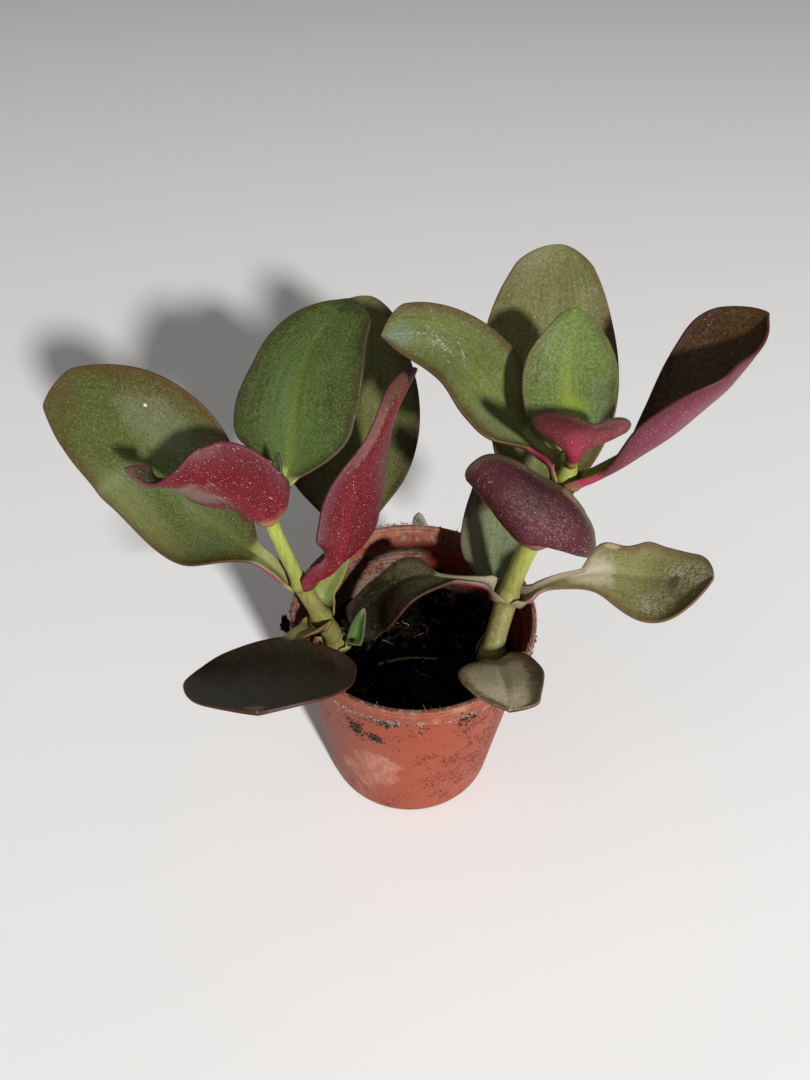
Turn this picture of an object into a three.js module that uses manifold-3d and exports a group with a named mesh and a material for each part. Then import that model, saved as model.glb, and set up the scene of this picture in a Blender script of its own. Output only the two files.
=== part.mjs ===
// A young crassula with two leafy stems, growing in a small moulded plastic pot.
// Millimetres, +Z up, +Y to the back, origin in the middle of the pot's flat underside.
import * as THREE from 'three';
import { mergeVertices } from 'three/addons/utils/BufferGeometryUtils.js';
import Module from 'manifold-3d';

const wasm = await Module();
wasm.setup();

// Pot
const potHeight = 54;
const rimRadius = 27.5;
const rimBevel = 0.3;
const baseRadius = 21;
const baseRounding = 1.6;
const collarHeight = 4.4;
const collarLedge = 0.6;
const wallThickness = 1.1;
const floorThickness = 1.4;
const innerLedgeDrop = 6.5;
const innerLedge = 0.5;
const drainHoleRadius = 2;
const drainHoleCircle = 13.5;
const drainHoles = 6;
const potSegments = 48;

// Soil
const soilLevel = 36;
const soilBump = 1.1;
const soilFloorGap = 0.3;
const soilWallGap = 0.35;
const soilRings = [4, 8, 12, 16, 20, 22.5];
const soilSegments = 40;
const holeClearance = 0.4;

// Stems
const stemFoot = 27;
const stemSides = 10;
const ringSpacing = 2.2;
const nodeSwelling = 0.45;
const nodeSwellingLength = 1.7;
const radiusBlend = 1.5;
const holeFoot = 26;

// Leaves
const pieceGap = 0.3;
const sheathAngle = 84;
const sheathLength = 5.4;
const sheathDrop = 1.3;
const sheathRise = 1.5;
const sheathFlare = 1.1;
const sheathThickness = 0.9;
const edgeThickness = 0.7;
const leafSteps = 14;
const leafColumns = 6;
const tipEnd = 0.992;

// Each stem: the points of its axis, the radius of each stretch between them, and which
// points are the nodes that carry a pair of leaves.
const stems = {
  left_stem: {
    radii: [2.3, 2.3, 2.25, 1.85, 1.5, 1.25],
    axis: [
      [-18, 1.8, stemFoot], [-18, 1.8, 34], [-18.2, 1.4, 40], [-20.7, -3, 54],
      [-24.3, -3.6, 66], [-29, -3.7, 85.5], [-28.6, -3.4, 89],
    ],
    nodes: { base: 2, low: 3, mid: 4, top: 5, bud: 6 },
  },
  right_stem: {
    radii: [2.3, 2.3, 2.35, 2.1, 1.65, 1.4],
    axis: [
      [16.3, -10, stemFoot], [16.5, -10, 36], [17.3, -9, 50], [20.4, -0.3, 60],
      [24.1, 0.5, 78.3], [28, 0, 94], [27.8, 0.5, 99],
    ],
    nodes: { base: 2, low: 3, mid: 4, top: 5, crown: 6 },
  },
};

// Each leaf: the stem node it grows from, the way it leaves the stem (degrees, 0 is +X and
// 90 is +Y), the midrib's points past the sheath, which way the upper side faces along it,
// the two halves of the blade as [width, start, fullness at the base, fullness at the tip],
// the bend across the blade in degrees, the petiole's width and the thickness at the midrib.
// A few leaves add the height of the waves on their edge, or how far they clasp the stem.
const leaves = {
  left_base_inner_leaf: {
    stem: 'left_stem', node: 'base', turn: 0, colour: 0x5f8a3a,
    midrib: [[-13.5, -2, 44], [-12.5, -2, 49.5], [-11, -1.5, 55]],
    facing: [[0.1, -0.5, 0.9]],
    left: [2.5, 0.1, 0.6, 0.9], right: [2.5, 0.1, 0.8, 0.9],
    cup: [25, 20, 10], petiole: 2.2, thickness: 1,
  },
  left_base_front_leaf: {
    stem: 'left_stem', node: 'base', turn: -160, colour: 0x8a2c3c,
    midrib: [[-21.5, -4.5, 41], [-18.5, -9.5, 43], [-13.5, -13, 44]],
    facing: [[-0.2, 0.4, 0.9]],
    left: [2, 0.3, 1.2, 0.6], right: [1.6, 0.3, 1.2, 0.6],
    cup: [30, 20, 10], petiole: 2, thickness: 1, clasp: 45,
  },
  left_low_front_leaf: {
    stem: 'left_stem', node: 'low', turn: -105, colour: 0x4a3c2c,
    midrib: [[-25, -11.5, 57], [-25.5, -24.5, 61], [-26.5, -40, 71.5]],
    facing: [[-0.1, 0.15, 1], [-0.1, 0.3, 0.95]],
    left: [15.5, 0.3, 0.4, 0.5], right: [18.5, 0.25, 0.45, 0.55],
    cup: [15, 5, 10], petiole: 5, thickness: 1.6,
  },
  left_low_back_leaf: {
    stem: 'left_stem', node: 'low', turn: 76, colour: 0x46502c,
    midrib: [[-17.5, 7.5, 58.5], [-16, 23, 67], [-15, 43, 79], [-13.5, 63, 97]],
    facing: [[0.15, -0.5, 0.85], [0.1, -0.65, 0.75]],
    left: [18.5, 0.3, 0.35, 0.5], right: [15, 0.3, 0.5, 0.65],
    cup: [30, 10, 10], petiole: 4.4, thickness: 1.8,
  },
  left_mid_outer_leaf: {
    stem: 'left_stem', node: 'mid', turn: 165, colour: 0x6c7c48,
    midrib: [[-32.5, -2, 71.5], [-45, 5.5, 74.5], [-57.5, 10.5, 89], [-77.5, 15.5, 95]],
    facing: [[0.3, 0, 0.95], [-0.1, -0.8, 0.6], [-0.2, -0.8, 0.55]],
    left: [13.5, 0.15, 0.6, 0.7], right: [16, 0.2, 0.65, 0.6],
    cup: [40, 8, 15], petiole: 4.4, thickness: 1.8,
  },
  left_mid_inner_leaf: {
    stem: 'left_stem', node: 'mid', turn: -15, colour: 0x8c2438,
    midrib: [[-17, -1, 69], [-15, 7.5, 77.5], [-8.5, 18, 89], [-1.5, 32, 96.5]],
    facing: [[-0.25, 0.9, 0.35], [-0.7, 0.6, -0.3], [-0.9, 0.45, -0.1], [-0.9, 0.45, 0]],
    left: [13, 0.2, 0.5, 0.95], right: [6.5, 0.05, 0.45, 1],
    cup: [20, 10, 15, 50], petiole: 4.4, thickness: 1.6,
  },
  left_top_front_leaf: {
    stem: 'left_stem', node: 'top', turn: -90, colour: 0x8c1f30,
    midrib: [[-34.5, -5, 91], [-43, -8, 95.5], [-48, -10, 97.5], [-51.5, -10.5, 101]],
    facing: [[0.1, 1, 0], [0.1, 1, 0.05], [0.15, 0.95, 0.25], [-0.15, 0.75, 0.65]],
    left: [11.5, 0.1, 0.35, 0.6], right: [9.5, 0, 1.3, 0.4],
    cup: [20, 5, 50, 0], petiole: 5, thickness: 1.4,
  },
  left_top_back_leaf: {
    stem: 'left_stem', node: 'top', turn: 90, colour: 0x55803c,
    midrib: [[-26, 3, 88.5], [-25.5, 15.5, 97], [-22.5, 22.5, 105], [-15, 33.5, 111.5]],
    facing: [[0, -0.35, 0.95], [-0.3, -0.5, 0.8]],
    left: [12.5, 0.25, 0.3, 0.65], right: [13.5, 0.2, 0.35, 0.5],
    cup: [20, 5, 15], petiole: 4.2, thickness: 1.6,
  },
  left_bud_front_leaf: {
    stem: 'left_stem', node: 'bud', turn: 200, colour: 0xa85868,
    midrib: [[-29, -3.2, 92], [-28.8, -2.2, 94.5]],
    facing: [[0.2, 0.8, 0.5]],
    left: [1.3, 0.1, 0.8, 0.6], right: [1.3, 0.1, 0.8, 0.6],
    cup: [40, 20, 10], petiole: 1.6, thickness: 0.8,
  },
  left_bud_back_leaf: {
    stem: 'left_stem', node: 'bud', turn: 20, colour: 0x3c4426,
    midrib: [[-27, -1.6, 92.5], [-26.5, 0.4, 97]],
    facing: [[-0.2, -0.7, 0.7]],
    left: [1.3, 0.1, 0.8, 1], right: [1.3, 0.1, 0.8, 1],
    cup: [40, 20, 10], petiole: 1.6, thickness: 0.8,
  },
  right_base_front_leaf: {
    stem: 'right_stem', node: 'base', turn: -88, colour: 0x7c7864,
    midrib: [[18.5, -15, 56], [18.5, -22, 60], [18.5, -32.5, 64]],
    facing: [[-0.1, 0.15, 1]],
    left: [8, 0.1, 0.45, 0.45], right: [9, 0.1, 0.9, 0.85],
    cup: [15, 18, 5], petiole: 4, thickness: 1.5,
  },
  right_base_back_leaf: {
    stem: 'right_stem', node: 'base', turn: 84, colour: 0x71866c,
    midrib: [[19.5, 4, 53.5], [19.5, 16, 57.5], [20.5, 23.5, 63], [20, 34, 69]],
    facing: [[0.05, -0.5, 0.85]],
    left: [9.5, 0.35, 0.4, 0.45], right: [10, 0.35, 0.6, 0.5],
    cup: [25, 10, 10], petiole: 2.6, thickness: 1.5,
  },
  right_low_inner_leaf: {
    stem: 'right_stem', node: 'low', turn: 175, colour: 0x3e4028,
    midrib: [[8.5, 2.5, 62], [0, 5.5, 59], [-8.5, 6.5, 50], [-15, 4.5, 41.5]],
    facing: [[0, -0.15, 1], [-0.05, -0.35, 0.95]],
    left: [9.5, 0.3, 0.55, 0.45], right: [5, 0.4, 0.3, 0.4],
    cup: [35, 20, 16], petiole: 2.2, thickness: 1.5, wave: 0.5,
  },
  right_low_outer_leaf: {
    stem: 'right_stem', node: 'low', turn: -5, colour: 0x7d7c50,
    midrib: [[28, -1, 65], [39, -0.5, 69], [49, -2, 69], [60, -6, 74.5]],
    facing: [[0, -0.4, 0.9], [0.05, -0.55, 0.85], [0, -0.2, 1]],
    left: [7, 0.4, 0.35, 0.4], right: [10, 0.2, 1.6, 0.75],
    cup: [30, 10, 15], petiole: 2.8, thickness: 1.6, wave: 0.5,
  },
  right_mid_front_leaf: {
    stem: 'right_stem', node: 'mid', turn: -92, colour: 0x5c2a3c,
    midrib: [[21.5, -5, 83], [24, -5.5, 92], [25.5, -11.5, 101]],
    facing: [[0.45, 0.55, 0.7], [0.65, 0.45, 0.6]],
    left: [13, 0, 0.35, 0.65], right: [16.5, 0.05, 0.6, 0.8],
    cup: [40, 5, 5], petiole: 5, thickness: 1.8,
  },
  right_mid_back_leaf: {
    stem: 'right_stem', node: 'mid', turn: 88, colour: 0x6e7a44,
    midrib: [[25, 15.5, 82.5], [27.5, 28, 91.5], [28.5, 42, 103], [29, 53.5, 115.5]],
    facing: [[0, -0.5, 0.85], [0, -0.65, 0.75]],
    left: [16, 0.15, 0.55, 0.5], right: [14.5, 0.2, 0.45, 0.6],
    cup: [30, 10, 10], petiole: 4.2, thickness: 1.8,
  },
  right_top_inner_leaf: {
    stem: 'right_stem', node: 'top', turn: 140, colour: 0x72884a,
    midrib: [[21.5, 6.5, 96.5], [14.5, 12.5, 101.5], [4.5, 21.5, 107], [-9, 24.5, 108]],
    facing: [[0.05, -0.05, 1], [0.05, -0.35, 0.95], [0.1, -0.65, 0.75]],
    left: [8, 0.2, 0.3, 0.8], right: [10, 0.3, 0.4, 0.4],
    cup: [40, 25, 10], petiole: 3.8, thickness: 1.6,
  },
  right_top_outer_leaf: {
    stem: 'right_stem', node: 'top', turn: -40, colour: 0x5a3a2c,
    midrib: [[42, 0.5, 102.5], [48, 4, 106.5], [54.5, 9.5, 112.5], [61.5, 16, 121]],
    facing: [[-0.55, 0.05, 0.85], [-0.65, 0.35, 0.65], [-0.55, 0.2, 0.8], [-0.45, -0.1, 0.9]],
    left: [11.5, 0, 1.5, 0.55], right: [12.5, 0.05, 1.1, 0.85],
    cup: [40, 80, 60, 35], petiole: 2.4, thickness: 1.5,
  },
  right_crown_front_leaf: {
    stem: 'right_stem', node: 'crown', turn: -90, colour: 0xa02c46,
    midrib: [[27.5, -4, 102], [26.5, -6, 109.5], [28, -12, 115]],
    facing: [[0.1, 0.85, 0.5], [0, 0.75, 0.65]],
    left: [9.5, 0.15, 0.65, 0.85], right: [7.5, 0.05, 1, 0.85],
    cup: [40, 35, 45], petiole: 2.6, thickness: 1.4, clasp: 50,
  },
  right_crown_back_leaf: {
    stem: 'right_stem', node: 'crown', turn: 90, colour: 0x5c8440,
    midrib: [[28.5, 5.5, 102.5], [27.5, 12, 106.5], [28.5, 18.5, 111.5], [29, 24, 116]],
    facing: [[-0.15, -0.5, 0.85], [0.25, -0.6, 0.75]],
    left: [9.5, 0.05, 0.35, 0.55], right: [9.5, 0.05, 0.65, 0.7],
    cup: [25, 15, 10], petiole: 3.4, thickness: 1.4,
  },
};

// Small dry things that lie on the soil and the rim
const straw = { points: [[-7.9, -2.9], [-1.6, -1.1], [6, -1.3]], radius: 0.45, lift: 1.1 };
const scrap = { size: [4, 0.9, 4.2], place: [0.8, rimRadius - 0.7, potHeight + 0.3] };
const crumb = { radius: 2, place: [-29, -1.8, 49] };

const colours = {
  pot: 0xb5583c, soil: 0x15110e, left_stem: 0xa3b04e, right_stem: 0x9aa65a,
  straw: 0x8a7350, dry_scrap: 0x6e6c58, rim_crumb: 0x17120f,
};

const vector = (point) => new THREE.Vector3(...point);
const mix = THREE.MathUtils.lerp;
const clamp = (value) => THREE.MathUtils.clamp(value, 0, 1);
const ease = (value) => THREE.MathUtils.smoothstep(value, 0, 1);

// A value read along a short list of even stations
function along(values, u) {
  const place = clamp(u) * (values.length - 1);
  const index = Math.min(Math.floor(place), Math.max(values.length - 2, 0));
  return { from: values[index], to: values[Math.min(index + 1, values.length - 1)], part: place - index };
}

function numberAlong(values, u) {
  const { from, to, part } = along(values, u);
  return mix(from, to, part);
}

function directionAlong(values, u) {
  const { from, to, part } = along(values, u);
  return vector(from).normalize().lerp(vector(to).normalize(), ease(part)).normalize();
}

function meshOf(name, geometry, roughness = 0.6) {
  const material = new THREE.MeshStandardMaterial({
    color: leaves[name] ? leaves[name].colour : colours[name], roughness, metalness: 0,
  });
  const mesh = new THREE.Mesh(geometry, material);
  mesh.name = name;
  return mesh;
}

function geometryFrom(points, triangles) {
  const geometry = new THREE.BufferGeometry();
  const places = points.flatMap((p) => [p.x, p.y, p.z]);
  geometry.setAttribute('position', new THREE.Float32BufferAttribute(places, 3));
  geometry.setIndex(triangles.flat());
  return geometry;
}

function solidOf(geometry) {
  const bare = geometry.clone();
  bare.deleteAttribute('normal');
  bare.deleteAttribute('uv');
  const welded = mergeVertices(bare, 1e-4);
  return new wasm.Manifold(new wasm.Mesh({
    numProp: 3,
    vertProperties: new Float32Array(welded.attributes.position.array),
    triVerts: new Uint32Array(welded.index.array),
  }));
}

function geometryOf(solid) {
  const { vertProperties, triVerts } = solid.getMesh();
  const geometry = new THREE.BufferGeometry();
  geometry.setAttribute('position', new THREE.Float32BufferAttribute(vertProperties, 3));
  geometry.setIndex(new THREE.Uint32BufferAttribute(triVerts, 1));
  return geometry;
}

// A lathe turned about +Z from [radius, height] pairs
function turned(profile, segments) {
  const points = profile.map(([radius, height]) => new THREE.Vector2(radius, height));
  return new THREE.LatheGeometry(points, segments).rotateX(Math.PI / 2);
}

function wallRadius(z) {
  const top = rimRadius - collarLedge - rimBevel;
  return mix(baseRadius, top, z / (potHeight - collarHeight));
}

// Pot: flat base, rounded foot, tapered wall, collar outside and a small ledge inside
function potGeometry() {
  const collarFoot = potHeight - collarHeight;
  const ledge = potHeight - innerLedgeDrop;
  const profile = [
    [0, 0],
    [baseRadius - baseRounding, 0],
    [baseRadius - baseRounding * 0.3, baseRounding * 0.3],
    [wallRadius(baseRounding), baseRounding],
    [wallRadius(collarFoot), collarFoot],
    [rimRadius - rimBevel, collarFoot + rimBevel],
    [rimRadius, potHeight - rimBevel],
    [rimRadius - rimBevel, potHeight],
    [rimRadius - wallThickness, potHeight],
    [rimRadius - wallThickness - rimBevel, ledge + innerLedge],
    [wallRadius(ledge) - wallThickness, ledge],
    [wallRadius(floorThickness) - wallThickness, floorThickness],
    [0, floorThickness],
  ];
  let solid = solidOf(turned(profile, potSegments));
  for (let hole = 0; hole < drainHoles; hole += 1) {
    const angle = (hole / drainHoles) * 2 * Math.PI;
    const drill = new THREE.CylinderGeometry(drainHoleRadius, drainHoleRadius, floorThickness * 4, 14);
    drill.rotateX(Math.PI / 2);
    drill.translate(drainHoleCircle * Math.cos(angle), drainHoleCircle * Math.sin(angle), 0);
    solid = solid.subtract(solidOf(drill));
  }
  return geometryOf(solid);
}

// Height of the soil's uneven top
function soilHeight(x, y) {
  const swell = Math.sin(x * 0.21 + 0.6) * Math.cos(y * 0.17 - 0.4);
  const lumps = Math.sin(x * 0.53 + y * 0.31) * Math.cos(y * 0.47 - x * 0.22 + 1.3);
  return soilLevel + soilBump * (0.6 * swell + 0.4 * lumps);
}

function soilGeometry() {
  const foot = floorThickness + soilFloorGap;
  const reach = (z) => wallRadius(z) - wallThickness - soilWallGap;
  const profile = [[0, foot], [reach(foot), foot], [reach(soilLevel), soilLevel]];
  for (const radius of [...soilRings].reverse()) profile.push([radius, soilLevel]);
  profile.push([0, soilLevel]);
  const geometry = turned(profile, soilSegments);
  const spots = geometry.attributes.position;
  for (let index = 0; index < spots.count; index += 1) {
    if (spots.getZ(index) > soilLevel - 0.01) {
      spots.setZ(index, soilHeight(spots.getX(index), spots.getY(index)));
    }
  }
  let solid = solidOf(geometry);
  for (const { axis, radii } of Object.values(stems)) {
    const radius = radii[0] + nodeSwelling + holeClearance;
    const drill = new THREE.CylinderGeometry(radius, radius, 30, 20).rotateX(Math.PI / 2);
    drill.translate(axis[0][0], axis[0][1], holeFoot + 15);
    solid = solid.subtract(solidOf(drill));
  }
  return geometryOf(solid);
}

// How far along its curve, from 0 to 1, each point of a stem's axis lies
function stationsOf(curve, count) {
  const lengths = curve.getLengths(400);
  const total = lengths[400];
  const at = (index) => lengths[Math.round((index / (count - 1)) * 400)];
  return Array.from({ length: count }, (_, index) => at(index) / total);
}

function stemShape(name) {
  const { axis, radii, nodes } = stems[name];
  const curve = new THREE.CatmullRomCurve3(axis.map(vector));
  const stations = stationsOf(curve, axis.length);
  const length = curve.getLength();
  const swollen = Object.values(nodes).map((index) => stations[index] * length);
  const radiusAt = (u) => {
    let radius = radii[0];
    for (let joint = 1; joint < radii.length; joint += 1) {
      const past = (u - stations[joint]) * length / radiusBlend;
      radius += (radii[joint] - radii[joint - 1]) * ease(past + 0.5);
    }
    const bulge = swollen.reduce((sum, place) => {
      const away = (u * length - place) / nodeSwellingLength;
      return sum + Math.exp(-away * away);
    }, 0);
    return radius + nodeSwelling * Math.min(bulge, 1);
  };
  return { curve, stations, length, radiusAt };
}

// A round solid swept along a curve with a radius that changes along it
function sweptGeometry(curve, radiusAt, rings, sides) {
  const points = [curve.getPointAt(0)];
  const triangles = [];
  const side = new THREE.Vector3(1, 0, 0);
  for (let ring = 0; ring <= rings; ring += 1) {
    const u = ring / rings;
    const centre = curve.getPointAt(u);
    const across = new THREE.Vector3().crossVectors(curve.getTangentAt(u), side).normalize();
    const outward = new THREE.Vector3().crossVectors(across, curve.getTangentAt(u)).normalize();
    for (let step = 0; step < sides; step += 1) {
      const angle = (step / sides) * 2 * Math.PI;
      points.push(centre.clone()
        .addScaledVector(outward, radiusAt(u) * Math.cos(angle))
        .addScaledVector(across, radiusAt(u) * Math.sin(angle)));
    }
  }
  points.push(curve.getPointAt(1));
  const at = (ring, step) => 1 + ring * sides + (step % sides);
  for (let step = 0; step < sides; step += 1) {
    triangles.push([0, at(0, step + 1), at(0, step)]);
    triangles.push([points.length - 1, at(rings, step), at(rings, step + 1)]);
    for (let ring = 0; ring < rings; ring += 1) {
      triangles.push([at(ring, step), at(ring, step + 1), at(ring + 1, step + 1)]);
      triangles.push([at(ring, step), at(ring + 1, step + 1), at(ring + 1, step)]);
    }
  }
  return geometryFrom(points, triangles);
}

function stemGeometry(name) {
  const { curve, length, radiusAt } = stemShape(name);
  return sweptGeometry(curve, radiusAt, Math.round(length / ringSpacing), stemSides);
}

// Half width of one side of a blade, with the petiole running into it
function halfWidth(u, [width, start, base, tip], petiole) {
  const s = clamp((u - start) / (1 - start));
  const widest = base / (base + tip);
  const blade = (s / widest) ** base * ((1 - s) / (1 - widest)) ** tip * width;
  const stalk = (petiole / 2) * Math.sqrt(1 - u);
  return Math.cbrt(blade ** 3 + stalk ** 3);
}

// A leaf as a function: u runs from sheath to tip, v from the left edge (-1) to the right (1),
// and depth from the upper side (0) to the lower side (1)
function leafShape(leaf) {
  const { curve: stemCurve, stations, radiusAt } = stemShape(leaf.stem);
  const station = stations[stems[leaf.stem].nodes[leaf.node]];
  const node = stemCurve.getPointAt(station);
  const up = stemCurve.getTangentAt(station);
  const heading = THREE.MathUtils.degToRad(leaf.turn);
  const out = new THREE.Vector3(Math.cos(heading), Math.sin(heading), 0);
  out.addScaledVector(up, -out.dot(up)).normalize();
  const reach = radiusAt(station) + pieceGap;
  const start = node.clone().addScaledVector(out, reach).addScaledVector(up, -sheathDrop);
  const flare = node.clone().addScaledVector(out, reach + sheathFlare).addScaledVector(up, sheathRise);
  const curve = new THREE.CatmullRomCurve3([start, flare, ...leaf.midrib.map(vector)]);
  const length = curve.getLength();
  const inward = out.clone().negate();
  const clasp = leaf.clasp ?? sheathAngle;
  return (u, v, depth) => {
    const sheath = 1 - ease(u * length / sheathLength);
    const centre = curve.getPointAt(u);
    const ahead = curve.getTangentAt(u);
    const facing = directionAlong(leaf.facing, u).lerp(inward, sheath).normalize();
    const right = new THREE.Vector3().crossVectors(ahead, facing).normalize();
    const above = new THREE.Vector3().crossVectors(right, ahead);
    const bend = THREE.MathUtils.degToRad(mix(Math.max(numberAlong(leaf.cup, u), 1), clasp, sheath));
    const blade = halfWidth(u, v < 0 ? leaf.left : leaf.right, leaf.petiole);
    const wrap = reach * THREE.MathUtils.degToRad(clasp);
    const half = mix(blade, wrap, sheath);
    const turn = bend * v;
    const ripple = (leaf.wave ?? 0) * v * v * Math.sin(12 * u + 1.5 * v) * (1 - sheath);
    const body = mix(leaf.thickness, sheathThickness, sheath) * (1 - 0.45 * u);
    const thick = depth * (edgeThickness + (Math.max(body, edgeThickness) - edgeThickness) * (1 - v * v));
    return centre
      .addScaledVector(right, half * Math.sin(turn) / bend + thick * Math.sin(turn))
      .addScaledVector(above, half * (1 - Math.cos(turn)) / bend + ripple - thick * Math.cos(turn));
  };
}

// The closed skin of a leaf: both sides split into the same triangles, joined round the edge
function leafGeometry(leaf) {
  const shape = leafShape(leaf);
  const rows = leafSteps + 1;
  const columns = leafColumns + 1;
  const points = [];
  for (const depth of [0, 1]) {
    for (let row = 0; row < rows; row += 1) {
      const u = (1 - (1 - row / leafSteps) ** 1.5) * tipEnd;
      for (let column = 0; column < columns; column += 1) {
        const v = Math.sin((column / leafColumns - 0.5) * Math.PI * 0.8) / Math.sin(Math.PI * 0.4);
        points.push(shape(u, v, depth));
      }
    }
  }
  const at = (row, column, depth) => (depth * rows + row) * columns + column;
  const triangles = [];
  const quad = (a, b, c, d) => triangles.push([a, b, c], [a, c, d]);
  for (let row = 0; row < leafSteps; row += 1) {
    for (let column = 0; column < leafColumns; column += 1) {
      const [a, b] = [at(row, column, 0), at(row, column + 1, 0)];
      const [c, d] = [at(row + 1, column + 1, 0), at(row + 1, column, 0)];
      quad(a, b, c, d);
      const [e, f] = [at(row, column, 1), at(row, column + 1, 1)];
      const [g, h] = [at(row + 1, column + 1, 1), at(row + 1, column, 1)];
      triangles.push([e, g, f], [e, h, g]);
    }
    quad(at(row, 0, 0), at(row + 1, 0, 0), at(row + 1, 0, 1), at(row, 0, 1));
    const last = leafColumns;
    quad(at(row, last, 1), at(row + 1, last, 1), at(row + 1, last, 0), at(row, last, 0));
  }
  for (let column = 0; column < leafColumns; column += 1) {
    quad(at(0, column, 1), at(0, column + 1, 1), at(0, column + 1, 0), at(0, column, 0));
    const last = leafSteps;
    quad(at(last, column, 0), at(last, column + 1, 0), at(last, column + 1, 1), at(last, column, 1));
  }
  return geometryFrom(points, triangles);
}

function strawGeometry() {
  const points = straw.points.map(([x, y]) => new THREE.Vector3(x, y, soilHeight(x, y) + straw.lift));
  const taper = (u) => straw.radius * (1 - 0.4 * u);
  return sweptGeometry(new THREE.CatmullRomCurve3(points), taper, 12, 6);
}

function scrapGeometry() {
  const [width, depth, height] = scrap.size;
  const geometry = new THREE.BoxGeometry(width, depth, height, 4, 1, 4).translate(0, 0, height / 2);
  const spots = geometry.attributes.position;
  for (let index = 0; index < spots.count; index += 1) {
    const [x, y, z] = [spots.getX(index), spots.getY(index), spots.getZ(index)];
    const rise = z / height;
    spots.setX(index, x * (1 - 0.45 * rise) - 0.8 * rise);
    spots.setY(index, y + 0.6 * Math.sin(rise * 2.4) * Math.cos(x));
  }
  return geometry.translate(...scrap.place);
}

function crumbGeometry() {
  const geometry = new THREE.SphereGeometry(crumb.radius, 10, 7);
  const spots = geometry.attributes.position;
  for (let index = 0; index < spots.count; index += 1) {
    const [x, y, z] = [spots.getX(index), spots.getY(index), spots.getZ(index)];
    const lump = 1 + 0.2 * Math.sin(2.1 * y + 1) * Math.cos(1.7 * z);
    spots.setXYZ(index, x * 0.5 * lump, y * lump, z * 1.5 * lump);
  }
  return geometry.translate(...crumb.place);
}

const plant = new THREE.Group();
plant.add(meshOf('pot', potGeometry(), 0.5));
plant.add(meshOf('soil', soilGeometry(), 0.95));
for (const name of Object.keys(stems)) plant.add(meshOf(name, stemGeometry(name)));
for (const [name, leaf] of Object.entries(leaves)) plant.add(meshOf(name, leafGeometry(leaf)));
plant.add(meshOf('straw', strawGeometry(), 0.9));
plant.add(meshOf('dry_scrap', scrapGeometry(), 0.9));
plant.add(meshOf('rim_crumb', crumbGeometry(), 0.95));

export default plant;
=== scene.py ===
"""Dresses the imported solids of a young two-stemmed crassula in its small plastic pot.

Sizes and places are in millimetres up to the moment a mesh is made; the frame is in metres.
"""
import math
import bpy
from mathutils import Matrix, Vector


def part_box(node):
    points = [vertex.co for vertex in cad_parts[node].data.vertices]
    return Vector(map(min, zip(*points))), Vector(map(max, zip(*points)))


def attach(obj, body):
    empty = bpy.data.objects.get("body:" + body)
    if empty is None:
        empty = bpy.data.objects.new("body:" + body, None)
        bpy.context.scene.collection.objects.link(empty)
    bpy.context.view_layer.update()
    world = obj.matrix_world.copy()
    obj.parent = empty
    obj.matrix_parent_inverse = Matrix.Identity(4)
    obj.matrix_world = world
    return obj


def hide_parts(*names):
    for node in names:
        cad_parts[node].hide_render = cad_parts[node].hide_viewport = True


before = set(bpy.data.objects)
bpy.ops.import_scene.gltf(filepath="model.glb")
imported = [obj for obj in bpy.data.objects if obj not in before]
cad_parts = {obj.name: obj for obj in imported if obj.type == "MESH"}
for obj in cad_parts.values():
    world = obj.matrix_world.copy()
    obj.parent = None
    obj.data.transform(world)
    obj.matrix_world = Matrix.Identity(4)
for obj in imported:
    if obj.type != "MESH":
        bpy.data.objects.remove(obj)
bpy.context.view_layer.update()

from types import SimpleNamespace

import bpy
import numpy as np
from bpy.props import FloatProperty, FloatVectorProperty, IntProperty
from mathutils import Matrix

bl_info = {
    "name": "Potted Crassula",
    "version": (1, 0, 0),
    "blender": (4, 5, 0),
    "location": "View3D > Sidebar > Crassula",
    "description": "Leaves, stems, soil and plastic pot of a young crassula",
    "category": "Object",
}

MM = 0.001
ROOT = "root"

# Steps in which the length of a path is measured
PATH_STEPS = 1601

# The leaf base that clasps the stem, as in the solids
PIECE_GAP = 0.3
CLASP_ANGLE = 84
CLASP_LENGTH = 5.4
CLASP_DROP = 1.3
CLASP_RISE = 1.5
CLASP_FLARE = 1.1
CLASP_THICKNESS = 0.9
EDGE_THICKNESS = 0.7
TIP_END = 0.989
ROUND_END = 0.92

# Relief and fineness of the leaf skins
BEND_BLUR = 0.07
TIP_THINNING = 0.45
CLASP_THINNING = 0.55
GROOVE_DEPTH = 0.28
GROOVE_WIDTH = 0.8
KEEL_HEIGHT = 0.35
KEEL_WIDTH = 1.4
SWELL_LENGTHS = (26, 13)
SWELL_SHARES = (1, 0.35)
WAVE_ALONG = 12
WAVE_ACROSS = 1.5
SMALL_LEAF = 5
LEAST_ROWS = 26
TIP_CROWDING = 1.7
LAST_ROW = 0.9996
LEAF_SEED = 20

# Stems: the points of each axis, the radius of each stretch and the points that are nodes
NODE_SWELLING = 0.45
NODE_SWELLING_LENGTH = 1.7
RADIUS_BLEND = 1.5
STEMS = {
    "left_stem": {
        "radii": [2.3, 2.3, 2.25, 1.85, 1.5, 1.25],
        "axis": [
            (-18, 1.8, 27), (-18, 1.8, 34), (-18.2, 1.4, 40), (-20.7, -3, 54),
            (-24.3, -3.6, 66), (-29, -3.7, 85.5), (-28.6, -3.4, 89),
        ],
        "nodes": {"base": 2, "low": 3, "mid": 4, "top": 5, "bud": 6},
    },
    "right_stem": {
        "radii": [2.3, 2.3, 2.35, 2.1, 1.65, 1.4],
        "axis": [
            (16.3, -10, 27), (16.5, -10, 36), (17.3, -9, 50), (20.4, -0.3, 60),
            (24.1, 0.5, 78.3), (28, 0, 94), (27.8, 0.5, 99),
        ],
        "nodes": {"base": 2, "low": 3, "mid": 4, "top": 5, "crown": 6},
    },
}

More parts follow.
